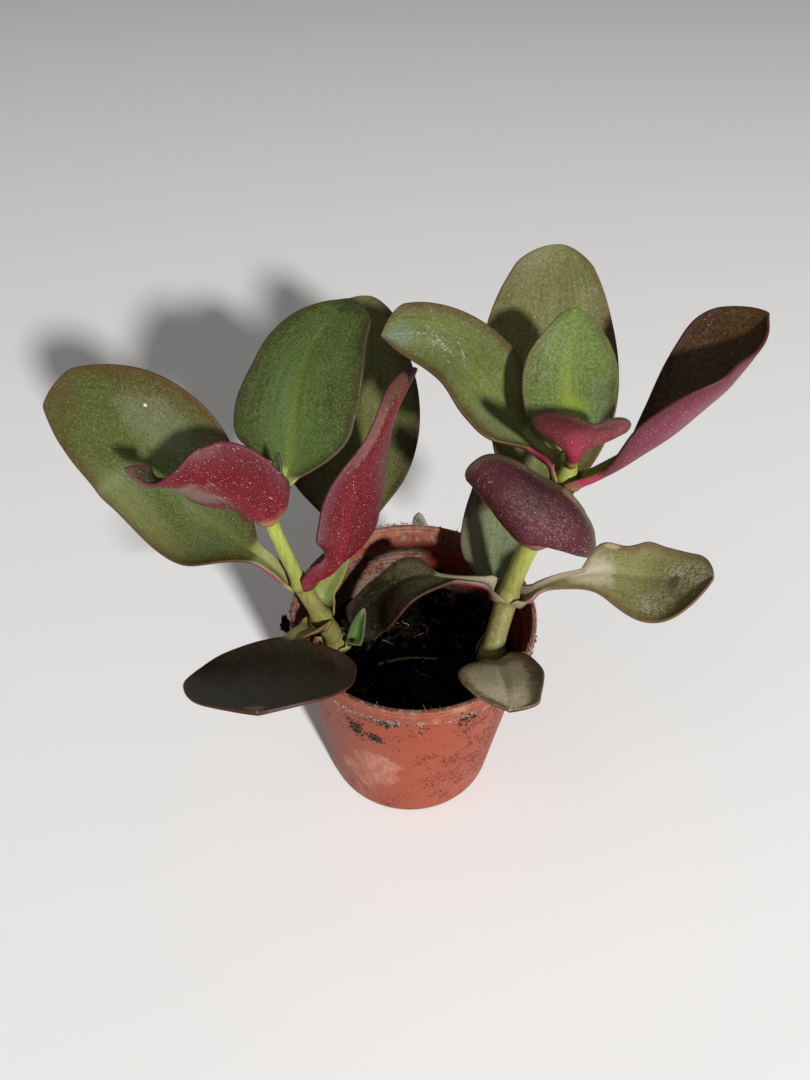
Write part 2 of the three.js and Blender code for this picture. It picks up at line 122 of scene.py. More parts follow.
# Each leaf: the stem and node it grows from and its heading in degrees, the midrib past the
# clasp, the way the upper side faces, each half as the share of the way where the blade
# starts and its widths at six even stations from there to the tip, or for the small leaves
# as (width, start, fullness at base, at tip), the bend across in degrees, the petiole's width
# and the thickness. look names its finish. Some leaves have more: how far the clasp wraps in
# degrees, the height of the waves along the edges, the colour at the joint, the colour of one
# flank of the petiole, and fine scratches, each from one place on the blade to another.
# Patches are blotches on the upper or lower side: place along and across the blade, length
# and width as shares of it, colour, strength and, where one is named, the finer pattern that
# breaks it up.
LEAVES = {
    "left_base_inner_leaf": {
        "stem": "left_stem", "node": "base", "turn": 0,
        "midrib": [(-13.5, -2, 44), (-12.5, -2, 49.5), (-11, -1.5, 55)],
        "facing": [(0.1, -0.5, 0.9)],
        "left": (1.7, 0.1, 0.6, 0.9), "right": (1.9, 0.1, 0.8, 0.9),
        "cup": [50, 70, 60], "petiole": 2, "thickness": 1,
        "look": "young",
        "upper_patches": [(1.0, 0, 0.12, 1.2, "8a8470", 1)],
    },
    "left_base_front_leaf": {
        "stem": "left_stem", "node": "base", "turn": -160,
        "midrib": [(-21.5, -4.5, 41), (-18.5, -9.5, 43), (-13.5, -13, 44)],
        "facing": [(-0.2, 0.4, 0.9)],
        "left": (2, 0.3, 1.2, 0.6), "right": (1.6, 0.3, 1.2, 0.6),
        "cup": [30, 20, 10], "petiole": 2, "thickness": 1, "clasp": 45,
        "look": "crimson",
    },
    "left_low_front_leaf": {
        "stem": "left_stem", "node": "low", "turn": -105,
        "midrib": [(-25, -11.5, 57), (-25.5, -24.5, 61), (-26.5, -40, 71.5)],
        "facing": [(-0.1, 0.15, 1), (-0.1, 0.3, 0.95)],
        "left": (0.2, 8.5, 14, 15, 14.5, 12, 4),
        "right": (0.22, 12, 17, 18.5, 17, 13.5, 7.5),
        "cup": [15, 5, 10], "petiole": 5, "thickness": 1.6,
        "joint": "8c8450",
        "look": "dark",
        "upper_patches": [(0.98, 0.1, 0.05, 0.4, "8c8068", 0.9), (0.5, -0.9, 0.2, 0.25, "4c3c2c", 0.6)],
    },
    "left_low_back_leaf": {
        "stem": "left_stem", "node": "low", "turn": 76,
        "midrib": [(-17.5, 7.5, 58.5), (-16, 23, 67), (-15, 43, 79), (-13.5, 63, 97)],
        "facing": [(0.15, -0.5, 0.85), (0.1, -0.65, 0.75)],
        "left": (0.24, 12.5, 18.5, 19, 17, 13, 7),
        "right": (0.15, 6, 12.5, 15, 14, 10, 5),
        "cup": [30, 10, 10], "petiole": 4.4, "thickness": 1.8,
        "joint": "6e6e3e",
        "look": "moss",
    },
    "left_mid_outer_leaf": {
        "stem": "left_stem", "node": "mid", "turn": 165,
        "midrib": [(-32.5, -2, 71.5), (-45, 5.5, 74.5), (-57.5, 10.5, 89), (-77.5, 15.5, 95)],
        "facing": [(0.3, 0, 0.95), (-0.1, -0.8, 0.6), (-0.2, -0.8, 0.55)],
        "left": (0.12, 8.5, 12.5, 13.5, 12.5, 9, 2),
        "right": (0.15, 8.5, 13, 16, 15.5, 12, 7),
        "cup": [40, 8, 15], "petiole": 4.4, "thickness": 1.8,
        "joint": "8a8858",
        "look": "olive",
        "upper_patches": [
            (0.68, 0.42, 0.13, 0.4, "7a7c66", 0.6, "grain"),
            (0.719, 0.548, 0.006, 0.028, "d4d2c6", 0.8), (0.55, -0.75, 0.3, 0.35, "5e6838", 0.45),
            (0.3, -0.2, 0.12, 0.6, "66684c", 0.4, "grain"), (0.97, 0.3, 0.1, 1, "4a3a22", 0.6),
        ],
    },
    "left_mid_inner_leaf": {
        "stem": "left_stem", "node": "mid", "turn": -15,
        "midrib": [(-17, -1, 69), (-15, 7.5, 77.5), (-8.5, 18, 89), (-1.5, 32, 96.5)],
        "facing": [(-0.25, 0.9, 0.35), (-0.7, 0.6, -0.3), (-0.9, 0.45, -0.1), (-0.9, 0.45, 0)],
        "left": (0.15, 9.5, 11, 11, 6, 1, 0.5),
        "right": (0, 5.5, 6.5, 5.5, 3.5, 4.5, 1.5),
        "cup": [20, 10, 15, 50], "petiole": 3.4, "thickness": 1.6, "clasp": 55,
        "joint": "78303a",
        "look": "crimson",
        "lower_patches": [
            (0.68, 0.75, 0.2, 0.4, "7c5a50", 0.7), (0.9, 0.75, 0.16, 0.7, "4c3824", 1),
            (1.0, 0.2, 0.07, 1.2, "43301f", 0.92),
        ],
    },
    "left_top_front_leaf": {
        "stem": "left_stem", "node": "top", "turn": -90,
        "midrib": [(-34.5, -5, 91), (-43, -8, 95.5), (-48, -10, 97.5), (-51.5, -10.5, 101)],
        "facing": [
            (0.1, 1, 0), (0.1, 1, 0), (0.1, 1, 0), (0.1, 1, 0), (0.1, 1, 0.05), (0.15, 1, 0.15),
            (0.1, 0.85, 0.55), (0.1, -0.1, 1), (0.1, -0.45, 0.9),
        ],
        "left": (-0.05, 8.5, 11.5, 11.5, 8, 1, 0.5),
        "right": (-0.1, 5, 3.5, 6.5, 7, 4.5, 1),
        "cup": [20, 5, 50, 0], "petiole": 5, "thickness": 1.4,
        "joint": "96784a",
        "look": "crimson",
        "lower_patches": [
            (0.6, 0.55, 0.32, 0.85, "56302c", 0.85), (0.62, 0.3, 0.34, 0.5, "8a7a70", 0.75, "streak"),
            (0.99, 0, 0.2, 1.2, "34301e", 0.95),
        ],
    },
    "left_top_back_leaf": {
        "stem": "left_stem", "node": "top", "turn": 90,
        "midrib": [(-26, 3, 88.5), (-25.5, 15.5, 97), (-22.5, 22.5, 105), (-15, 33.5, 111.5)],
        "facing": [(0, -0.35, 0.95), (-0.3, -0.5, 0.8)],
        "left": (0.18, 10, 12.5, 11.5, 10, 7, 1.5),
        "right": (0.15, 10.5, 13, 13.5, 12.5, 9.5, 6.5),
        "cup": [20, 5, 15], "petiole": 4.2, "thickness": 1.6,
        "look": "green",
        "upper_patches": [(0.45, -0.3, 0.3, 0.3, "5c6c46", 0.5, "streak"), (0.97, 0, 0.06, 1, "2c2416", 0.6)],
    },
    "left_bud_front_leaf": {
        "stem": "left_stem", "node": "bud", "turn": 200,
        "midrib": [(-29, -3.2, 92), (-28.8, -2.2, 94.5)],
        "facing": [(0.2, 0.8, 0.5)],
        "left": (1.3, 0.1, 0.8, 0.6), "right": (1.3, 0.1, 0.8, 0.6),
        "cup": [40, 20, 10], "petiole": 1.6, "thickness": 0.8,
        "look": "rose",
    },
    "left_bud_back_leaf": {
        "stem": "left_stem", "node": "bud", "turn": 20,
        "midrib": [(-27, -1.6, 92.5), (-26.5, 0.4, 97)],
        "facing": [(-0.2, -0.7, 0.7)],
        "left": (1.3, 0.1, 0.8, 1), "right": (1.3, 0.1, 0.8, 1),
        "cup": [40, 20, 10], "petiole": 1.6, "thickness": 0.8,
        "look": "green",
    },
    "right_base_front_leaf": {
        "stem": "right_stem", "node": "base", "turn": -88,
        "midrib": [(18.5, -15, 56), (18.5, -22, 60), (18.5, -32.5, 64)],
        "facing": [(-0.1, 0.15, 1)],
        "left": (0.05, 5, 7, 8, 7.5, 6.5, 5.5),
        "right": (0.05, 4.5, 7, 9, 8.5, 5.5, 0.5),
        "cup": [15, 9, 5], "petiole": 4, "thickness": 1.5,
        "joint": "66583a",
        "look": "dusty",
        "upper_patches": [
            (0.65, 0.1, 0.6, 1.3, "dcd4ba", 0.5, "dust"), (0.4, -0.8, 0.3, 0.3, "6c4028", 0.7),
            (0.25, 0.2, 0.14, 1.1, "4c3424", 0.7), (0.75, -0.8, 0.3, 0.25, "5c4a34", 0.6),
        ],
    },
    "right_base_back_leaf": {
        "stem": "right_stem", "node": "base", "turn": 84,
        "midrib": [(19.5, 4, 53.5), (19.5, 16, 57.5), (20.5, 23.5, 63), (20, 34, 69)],
        "facing": [(0.05, -0.5, 0.85)],
        "left": (0.28, 5.5, 9, 9.5, 9, 7.5, 6),
        "right": (0.15, 3.5, 6, 9, 10.5, 11.5, 12),
        "cup": [25, 10, 10], "petiole": 2.6, "thickness": 1.5,
        "joint": "6a6444",
        "look": "sage",
        "upper_patches": [(0.5, -0.8, 0.5, 0.4, "76725a", 0.6), (0.85, -0.6, 0.14, 0.4, "4c2c20", 0.7)],
    },
    "right_low_inner_leaf": {
        "stem": "right_stem", "node": "low", "turn": 175,
        "midrib": [(8.5, 2.5, 62), (0, 5.5, 59), (-8.5, 6.5, 50), (-15, 4.5, 41.5)],
        "facing": [(0, -0.15, 1), (-0.05, -0.35, 0.95)],
        "left": (0.23, 5, 8.5, 9.5, 9, 7.5, 7),
        "right": (0.35, 4, 5, 4.5, 4.5, 4, 4.5),
        "cup": [35, 20, 16], "petiole": 2.2, "thickness": 1.5, "wave": 0.5,
        "joint": "8a7c60",
        "look": "dark_olive",
        "upper_patches": [
            # The second blotch, near black over the whole tip, is painted shade: the shade that falls on the
            # tip
            (0.5, 0.45, 0.14, 0.5, "76705a", 0.6, "grain"), (0.85, 0, 0.32, 1.2, "18130c", 0.85),
        ],
    },
    "right_low_outer_leaf": {
        "stem": "right_stem", "node": "low", "turn": -5,
        "midrib": [(28, -1, 65), (39, -0.5, 69), (49, -2, 69), (60, -6, 74.5)],
        "facing": [(0, -0.4, 0.9), (0.05, -0.55, 0.85), (0, -0.2, 1)],
        "left": (0.37, 6, 6, 7.5, 6.5, 5.5, 5),
        "right": (0.12, 2, 4, 7.5, 10, 9, 4),
        "cup": [30, 10, 15], "petiole": 2.4, "thickness": 1.6, "wave": 0.5,
        "joint": "8a7c60",
        "look": "beige_olive",
        "upper_patches": [
            (0.42, 0, 0.14, 1, "a89e84", 0.8), (0.9, -0.1, 0.16, 0.7, "b4ac96", 0.7, "dust"),
            (0.82, 0.1, 0.04, 0.25, "4c4434", 0.7), (0.75, 0.6, 0.14, 0.4, "a49c84", 0.7, "dust"),
            (0.52, -0.9, 0.04, 0.14, "c0b090", 0.9),
        ],
    },
    "right_mid_front_leaf": {
        "stem": "right_stem", "node": "mid", "turn": -92,
        "midrib": [(21.5, -5, 83), (24, -5.5, 92), (25.5, -11.5, 101)],
        "facing": [(0.45, 0.55, 0.7), (0.65, 0.45, 0.6)],
        "left": (0.23, 11, 12.5, 11, 9, 6.5, 4),
        "right": (0, 15, 16.5, 16, 13, 5.5, 0.5),
        "cup": [40, 5, 5], "petiole": 5, "thickness": 1.8,
        "joint": "946060",
        "look": "purple",
        "lower_patches": [
            (0.1, 0, 0.16, 1, "7c4a50", 0.8), (0.6, 0.2, 0.22, 0.4, "54484a", 0.7, "grain"),
            (0.62, -0.2, 0.34, 0.6, "78605e", 0.35, "dust"), (0.6, -0.1, 0.34, 0.7, "8c7478", 0.45, "web"),
        ],
    },
    "right_mid_back_leaf": {
        "stem": "right_stem", "node": "mid", "turn": 88,
        "midrib": [(25, 15.5, 82.5), (27.5, 28, 91.5), (28.5, 42, 103), (29, 53.5, 115.5)],
        "facing": [(0, -0.5, 0.85), (0, -0.65, 0.75)],
        "left": (-0.1, 5, 10, 14, 15.5, 13, 7),
        "right": (-0.15, 5, 10.5, 14, 14, 11, 5),
        "cup": [30, 10, 10], "petiole": 4.2, "thickness": 1.8,
        "joint": "5e4c30",
        "look": "khaki",
        "upper_patches": [(0.6, 0.92, 0.2, 0.16, "3c2218", 0.8)],
    },
    "right_top_inner_leaf": {
        "stem": "right_stem", "node": "top", "turn": 140,
        "midrib": [(21.5, 6.5, 96.5), (14.5, 12.5, 101.5), (4.5, 21.5, 107), (-9, 24.5, 108)],
        "facing": [(0.05, -0.05, 1), (0.05, -0.35, 0.95), (0.1, -0.65, 0.75)],
        "left": (0.15, 7.5, 8, 7, 6, 4, 0.5),
        "right": (0.22, 5, 9, 9.5, 9, 8, 6),
        "cup": [40, 25, 10], "petiole": 3.2, "thickness": 1.6,
        "joint": "8a7a48", "flank": "8c3444",
        "look": "silver_olive",
        "upper_patches": [
            (0.93, -0.1, 0.1, 0.7, "7e8a86", 0.5, "grain"), (0.8, 0.05, 0.12, 0.4, "98a49e", 0.35, "web"),
            (0.35, -0.5, 0.14, 0.4, "767860", 0.5, "grain"),
        ],
        "scratches": [
            (0.99, 0.1, 0.78, 0.25), (0.99, 0, 0.72, 0.05), (0.98, -0.2, 0.86, -0.05),
            (0.97, -0.3, 0.9, -0.4), (0.8, 0.1, 0.66, -0.3), (0.78, 0.2, 0.6, -0.1),
            (0.7, 0.35, 0.6, -0.05), (0.83, 0.45, 0.74, 0.1),
        ],
    },
    "right_top_outer_leaf": {
        "stem": "right_stem", "node": "top", "turn": -40,
        "midrib": [(42, 0.5, 102.5), (48, 4, 106.5), (54.5, 9.5, 112.5), (61.5, 16, 121)],
        "facing": [(-0.55, 0.05, 0.85), (-0.65, 0.35, 0.65), (-0.55, 0.2, 0.8), (-0.45, -0.1, 0.9)],
        "left": (0.22, 5, 8.5, 10.5, 11.5, 10.5, 6),
        "right": (0.1, 6.5, 10.5, 13, 11.5, 6, 0.5),
        "cup": [40, 80, 60, 35], "petiole": 2.8, "thickness": 1.5,
        "joint": "8e6a48",
        "look": "bronze",
        "lower_patches": [(0.6, 0.5, 0.3, 0.3, "84586a", 0.5, "grain")],
    },
    "right_crown_front_leaf": {
        "stem": "right_stem", "node": "crown", "turn": -90,
        "midrib": [(27.5, -4, 102), (26.5, -6, 109.5), (28, -12, 115)],
        "facing": [(0.1, 0.85, 0.5), (0, 0.75, 0.65)],
        "left": (0.3, 8, 9.8, 8.5, 5.6, 2.7, 0.5),
        "right": (0.3, 5.5, 7.8, 6.7, 5.3, 3.4, 0.5),
        "cup": [40, 35, 45], "petiole": 2.8, "thickness": 1.4, "clasp": 26,
        "joint": "8c703c",
        "look": "rose",
        "lower_patches": [(0.3, 0, 0.34, 0.22, "8a2a40", 0.7), (0.75, -0.7, 0.2, 0.5, "3e2220", 0.6)],
    },
    "right_crown_back_leaf": {
        "stem": "right_stem", "node": "crown", "turn": 90,
        "midrib": [(28.5, 5.5, 102.5), (27.5, 12, 106.5), (28.5, 18.5, 111.5), (29, 24, 116)],
        "facing": [(-0.15, -0.5, 0.85), (0.25, -0.6, 0.75)],
        "left": (-0.2, 6.5, 8.5, 9, 8.5, 6, 2),
        "right": (-0.1, 4.5, 7.5, 9, 9, 6.5, 2.5),
        "cup": [25, 15, 10], "petiole": 3.4, "thickness": 1.4,
        "look": "fresh",
        "upper_patches": [(0.22, 0, 0.2, 0.45, "7c8c2a", 0.6), (0.3, 0.7, 0.3, 0.4, "7a8a72", 0.4, "grain")],
    },
}


def tint(code):
    """A six-digit screen colour as linear red, green and blue."""
    parts = [int(code[place:place + 2], 16) / 255 for place in (0, 2, 4)]
    return tuple(p / 12.92 if p <= 0.04045 else ((p + 0.055) / 1.055) ** 2.4 for p in parts)


# Leaf finishes. Each side has the colour of its middle, of its outer part and of its midrib;
# the petiole has one above and one below. Then come the margin, and how strong the pale
# grain, the flecks and the greyish bloom are.
LOOKS = {
    "green": {
        "upper": ("3a4c1c", "303a12", "607028"), "lower": ("4c1c20", "3c1c1a", "5a2428"),
        "petiole": ("84904c", "7c4a40"), "margin": "3a2c1c", "grain": 0.5, "flecks": 0.35, "bloom": 0.1,
    },
    "moss": {
        "upper": ("4e5026", "382f19", "565a2c"), "lower": ("4a1c1e", "3c1a18", "582426"),
        "petiole": ("788044", "7c4a40"), "margin": "36241a", "grain": 0.5, "flecks": 0.3, "bloom": 0.15,
    },
    "fresh": {
        "upper": ("54662c", "445226", "8c9824"), "lower": ("5c222c", "4c2024", "76283a"),
        "petiole": ("8c9440", "8a5048"), "margin": "5c5634", "grain": 1.0, "flecks": 0.6, "bloom": 0.25,
    },
    "young": {
        "upper": ("3e6a22", "2c4a1c", "5c8430"), "lower": ("6c4034", "5c3a2c", "7a4a3a"),
        "petiole": ("4e7a2c", "6c6a3c"), "margin": "4e5a3c", "grain": 0.7, "flecks": 1.0, "bloom": 0.3,
    },
    "olive": {
        "upper": ("3c4616", "443e16", "525e20"), "lower": ("5c2228", "4c1e1e", "6a2a30"),
        "petiole": ("7c7c4c", "84404a"), "margin": "4a2c1c", "grain": 0.4, "flecks": 0.45, "bloom": 0.1,
    },
    "silver_olive": {
        "upper": ("565f2e", "524f26", "6e7a34"), "lower": ("5c2228", "4c1e1e", "6a2a30"),
        "petiole": ("848648", "8a3442"), "margin": "4c3020", "grain": 0.5, "flecks": 0.3, "bloom": 0.3,
    },
    "khaki": {
        "upper": ("5a5a30", "545028", "626430"), "lower": ("3c2418", "34201a", "4a2c20"),
        "petiole": ("5c4430", "4c3426"), "margin": "54401e", "grain": 0.8, "flecks": 0.6, "bloom": 0.2,
    },
    "bronze": {
        "upper": ("44290f", "3c220e", "4a301a"), "lower": ("66263a", "5e2234", "7a2e42"),
        "petiole": ("7c7a38", "8c2c40"), "margin": "3c2014", "grain": 0.25, "flecks": 0.5, "bloom": 0.1,
    },
    "dark": {
        "upper": ("322a14", "301c10", "3a3018"), "lower": ("4c2026", "401c20", "54262c"),
        "petiole": ("7a7444", "6c4434"), "margin": "3c1c16", "grain": 0.35, "flecks": 0.25, "bloom": 0.06,
    },
    "dark_olive": {
        "upper": ("34301a", "282212", "423e22"), "lower": ("6c3038", "5c2830", "7a3a40"),
        "petiole": ("837c66", "84404c"), "margin": "3a2418", "grain": 0.6, "flecks": 0.4, "bloom": 0.25,
    },
    "beige_olive": {
        "upper": ("6e6c3c", "6a6234", "747242"), "lower": ("70323c", "60303a", "7a3c44"),
        "petiole": ("877763", "84404c"), "margin": "5c3c2c", "grain": 0.7, "flecks": 0.7, "bloom": 0.45,
    },
    "dusty": {
        "upper": ("dccfa6", "8c7450", "d4c8a0"), "lower": ("4c3026", "3e2a20", "54382c"),
        "petiole": ("54422e", "5c342c"), "margin": "3c2a1e", "grain": 0.8, "flecks": 0.6, "bloom": 0.3,
    },
    "sage": {
        "upper": ("566042", "4c4830", "5c6648"), "lower": ("4c3026", "3e2a20", "54382c"),
        "petiole": ("5c5440", "5c3c30"), "margin": "382c20", "grain": 0.9, "flecks": 0.4, "bloom": 0.5,
    },
    "crimson": {
        "upper": ("332f1c", "2c2416", "3c3820"), "lower": ("5c0817", "520c18", "701224"),
        "petiole": ("7c3a3c", "742030"), "margin": "5c2834", "grain": 0.2, "flecks": 0.75, "bloom": 0.08,
    },
    "rose": {
        "upper": ("3c3a20", "33301c", "4a4628"), "lower": ("6a1e2c", "5e2228", "8c263a"),
        "petiole": ("7c6a3c", "7a2034"), "margin": "4c302c", "grain": 0.4, "flecks": 0.7, "bloom": 0.3,
    },
    "purple": {
        "upper": ("4c4a28", "45431f", "5c5830"), "lower": ("501b24", "461826", "581e28"),
        "petiole": ("7a6a4a", "7c444c"), "margin": "57513a", "grain": 0.3, "flecks": 0.8, "bloom": 0.15,
    },
}
PALE_GRAIN = "7c8450"
FLECK = "ccc4b4"
BLOOM = "766e58"
SCRATCH = "a8b2ae"
JOINT = "7c8440"

# How strong mottling, the pale veil of grain and bloom, and dashes are on each side
SIDE_STRENGTHS = {"upper": (1.5, 1, 0.3), "lower": (0.8, 0.35, 1)}


def colour_property(label, words, code):
    """A colour setting whose default is a six-digit screen colour."""
    return FloatVectorProperty(
        name=label, description=words, subtype="COLOR", size=3, min=0, max=1, default=tint(code)
    )


class PotSettings(bpy.types.PropertyGroup):
    """Sizes and colours of the plastic pot."""

    wall: FloatProperty(
        name="Wall", description="Thickness of the pot's wall, in millimetres", default=1.1, min=0.5
    )
    collar: FloatProperty(
        name="Collar", description="Height of the band round the rim, in millimetres", default=4.4, min=1
    )
    ledge: FloatProperty(
        name="Ledge", description="How far the band stands proud, in millimetres", default=0.6, min=0
    )
    segments: IntProperty(
        name="Segments", description="Steps round the pot", default=240, min=24
    )
    plastic: colour_property("Plastic", "Colour of the moulded plastic", "863519")
    dust: colour_property("Dust", "Pale film where water has dried", "735143")
    crust: colour_property("Crust", "Mineral crust on the rim", "8a7468")
    dirt: colour_property("Dirt", "Specks of soil on the plastic", "1c1310")


class SoilSettings(bpy.types.PropertyGroup):
    """Size and colours of the soil."""

    level: FloatProperty(
        name="Level", description="Height of the soil above the table, in millimetres", default=36
    )
    crumbs: IntProperty(
        name="Crumbs", description="How many loose crumbs lie on the soil", default=1500, min=0
    )
    dark: colour_property("Dark", "Colour of moist peat", "070504")
    light: colour_property("Light", "Colour of dry crumbs", "2c2119")
    seed: IntProperty(name="Seed", description="Start of the random draws", default=7)


class StemSettings(bpy.types.PropertyGroup):
    """Colours of the stems."""

    young: colour_property("Young", "Colour of the upper stem", "929748")
    old: colour_property("Old", "Colour of the lower stem", "77703e")
    node: colour_property("Node", "Colour of the rings at the leaf nodes", "6a4c2e")


class LeafSettings(bpy.types.PropertyGroup):
    """Fineness and relief of the leaves."""

    around: IntProperty(
        name="Around", description="Steps round the cross-section of a blade", default=88, min=24
    )
    step: FloatProperty(
        name="Step", description="Length of one step along a blade, in millimetres", default=0.75, min=0.2
    )
    swell: FloatProperty(
        name="Swell", description="Height of the slow swells of a blade, in millimetres", default=0.3, min=0
    )


class StageSettings(bpy.types.PropertyGroup):
    """Camera, lights and floor."""

    distance: FloatProperty(
        name="Distance", description="From the rim's middle to the camera, in millimetres", default=182
    )
    elevation: FloatProperty(
        name="Elevation", description="How far the camera looks down, in degrees", default=49.4
    )
    roll: FloatProperty(
        name="Roll", description="Turn of the camera about its own axis, in degrees", default=-2.2
    )
    key: FloatProperty(name="Key", description="Power of the main light, in watts", default=57)
    fill: FloatProperty(name="Fill", description="Power of the soft light, in watts", default=1.8)
    world: FloatProperty(name="World", description="Strength of the light from all round", default=0.15)
    floor: colour_property("Floor", "Colour of the floor", "f4f3f1")


class Signal:
    """A socket of a material used in sums: each operator adds its own Math node."""

    def __init__(self, graph, socket):
        self.graph = graph
        self.socket = socket

    def __add__(self, other):
        return self.graph.math("ADD", self, other)

    __radd__ = __add__

    def __sub__(self, other):
        return self.graph.math("SUBTRACT", self, other)

    def __rsub__(self, other):
        return self.graph.math("SUBTRACT", other, self)

    def __mul__(self, other):
        return self.graph.math("MULTIPLY", self, other)

    __rmul__ = __mul__

    def __truediv__(self, other):
        return self.graph.math("DIVIDE", self, other)

    def __pow__(self, other):
        return self.graph.math("POWER", self, other)

    def __abs__(self):
        return self.graph.math("ABSOLUTE", self)

    def sine(self):
        """The sine of this value in radians."""
        return self.graph.math("SINE", self)

    def bell(self):
        """e to the power of minus the square of this value."""
        return self.graph.math("EXPONENT", self * self * -1)

    def rise(self, low, high):
        """A smooth step from 0 at low to 1 at high."""
        return self.graph.node(
            "ShaderNodeMapRange",
            {"interpolation_type": "SMOOTHSTEP"},
            {"Value": self, "From Min": low, "From Max": high},
        )


class Graph:
    """The node tree of one material."""

    def __init__(self, name):
        self.material = bpy.data.materials.new(name)
        self.material.use_nodes = True
        self.tree = self.material.node_tree
        self.tree.nodes.clear()
        self.place = self.node("ShaderNodeVectorMath", {"operation": "SCALE"}, {
            0: self.node("ShaderNodeTexCoord", output="Object"), "Scale": 1 / MM,
        })

    def node(self, kind, settings=None, sockets=None, output=0):
        """Adds a node, sets its settings first and then its sockets, and wraps one output."""
        made = self.tree.nodes.new(kind)
        for key, value in (settings or {}).items():
            setattr(made, key, value)
        for key, value in (sockets or {}).items():
            if isinstance(value, Signal):
                self.tree.links.new(value.socket, made.inputs[key])
            else:
                made.inputs[key].default_value = value
        return Signal(self, made.outputs[output])

    def math(self, operation, *values):
        """One Math node on one or more values."""
        return self.node("ShaderNodeMath", {"operation": operation}, dict(enumerate(values)))

    def mix(self, factor, first, second):
        """A colour that goes from first to second, each a colour or a link. The node keeps its
        two colours behind sockets 6 and 7, and its mixed colour behind output 2."""
        whole = [c if isinstance(c, Signal) else (*c, 1) for c in (first, second)]
        return self.node(
            "ShaderNodeMix", {"data_type": "RGBA"}, {0: factor, 6: whole[0], 7: whole[1]}, output=2
        )

    def scaled(self, colour, factor):
        """A colour made lighter or darker by a factor."""
        return self.node("ShaderNodeVectorMath", {"operation": "SCALE"}, {0: colour, "Scale": factor})

    def vector(self, x, y, z):
        """Three values as one vector."""
        return self.node("ShaderNodeCombineXYZ", None, {0: x, 1: y, 2: z})

    def stretched(self, scale):
        """Object coordinates in millimetres, scaled along each axis."""
        return self.node("ShaderNodeVectorMath", {"operation": "MULTIPLY"}, {0: self.place, 1: scale})

    def parts(self, vector):
        """The three numbers of a vector."""
        made = self.node("ShaderNodeSeparateXYZ", None, {0: vector})
        return [Signal(self, socket) for socket in made.socket.node.outputs]

    def noise(self, vector, scale, detail=3, roughness=0.5):
        """Cloudy noise between 0 and 1."""
        return self.node("ShaderNodeTexNoise", None, {
            "Vector": vector, "Scale": scale, "Detail": detail, "Roughness": roughness,
        })

    def cells(self, vector, scale):
        """Distance to the nearest of many scattered points, and a random number for each."""
        made = self.node("ShaderNodeTexVoronoi", None, {"Vector": vector, "Scale": scale})
        draw = self.parts(Signal(self, made.socket.node.outputs["Color"]))[0]
        return made, draw

    def attribute(self, name):
        """A number that the mesh holds at each point."""
        return self.node("ShaderNodeAttribute", {"attribute_name": name}, output="Fac")

    def bump(self, height, depth):
        """Bends the normal by a height between 0 and 1 that stands for a depth in millimetres."""
        return self.node("ShaderNodeBump", None, {
            "Height": height, "Strength": 1.0, "Distance": depth * MM,
        })

    def finish(self, colour, roughness, normal=None, specular=0.5):
        """Ends the tree in one Principled shader and gives the material back."""
        sockets = {"Base Color": colour, "Roughness": roughness, "Specular IOR Level": specular}
        if normal is not None:
            sockets["Normal"] = normal
        shader = self.node("ShaderNodeBsdfPrincipled", None, sockets)
        output = self.tree.nodes.new("ShaderNodeOutputMaterial")
        self.tree.links.new(shader.socket, output.inputs["Surface"])
        return self.material


def mixed(first, second, share):
    """The first where the share is 0, the second where it is 1, evenly between."""
    return first * (1 - share) + second * share


def ease(value):
    """0 below 0, 1 above 1 and three squares less two cubes between."""
    t = np.clip(value, 0, 1)
    return t * t * (3 - 2 * t)


def unit(vectors):
    """Each vector divided by its length."""
    return vectors / np.linalg.norm(vectors, axis=-1, keepdims=True)


class Path:
    """A smooth curve through points, read by its share of the length.

    Between two points it is the cubic whose slopes there come from the neighbouring points,
    weighted by the fourth root of the squared distances, with the end points mirrored.
    """

    def __init__(self, points):
        inner = np.array(points, float)
        first = 2 * inner[0] - inner[1]
        last = 2 * inner[-1] - inner[-2]
        self.points = np.vstack([first, inner, last])
        self.count = len(inner)
        self.steps = np.linspace(0, 1, PATH_STEPS)
        fine, _ = self.cubic(self.steps)
        lengths = np.linalg.norm(np.diff(fine, axis=0), axis=1)
        self.lengths = np.concatenate([[0], np.cumsum(lengths)])
        self.length = self.lengths[-1]

    def cubic(self, t):
        """Place and direction at the parameter t of the cubics."""
        spot = np.clip(t, 0, 1) * (self.count - 1)
        index = np.minimum(spot.astype(int), self.count - 2)
        w = (spot - index)[:, None]
        p0, p1, p2, p3 = (self.points[index + shift] for shift in range(4))
        d0, d1, d2 = (np.sqrt(np.linalg.norm(b - a, axis=1))[:, None]
                      for a, b in ((p0, p1), (p1, p2), (p2, p3)))
        s1 = ((p1 - p0) / d0 - (p2 - p0) / (d0 + d1) + (p2 - p1) / d1) * d1
        s2 = ((p2 - p1) / d1 - (p3 - p1) / (d1 + d2) + (p3 - p2) / d2) * d1
        c2 = -3 * p1 + 3 * p2 - 2 * s1 - s2
        c3 = 2 * p1 - 2 * p2 + s1 + s2
        return p1 + (s1 + (c2 + c3 * w) * w) * w, unit(s1 + (2 * c2 + 3 * c3 * w) * w)

    def at(self, u):
        """Places and directions at the shares u of the length."""
        return self.cubic(np.interp(np.asarray(u) * self.length, self.lengths, self.steps))

    def stations(self):
        """The share of the length at which each given point lies."""
        places = np.linspace(0, 1, self.count)
        return np.interp(places, self.steps, self.lengths) / self.length


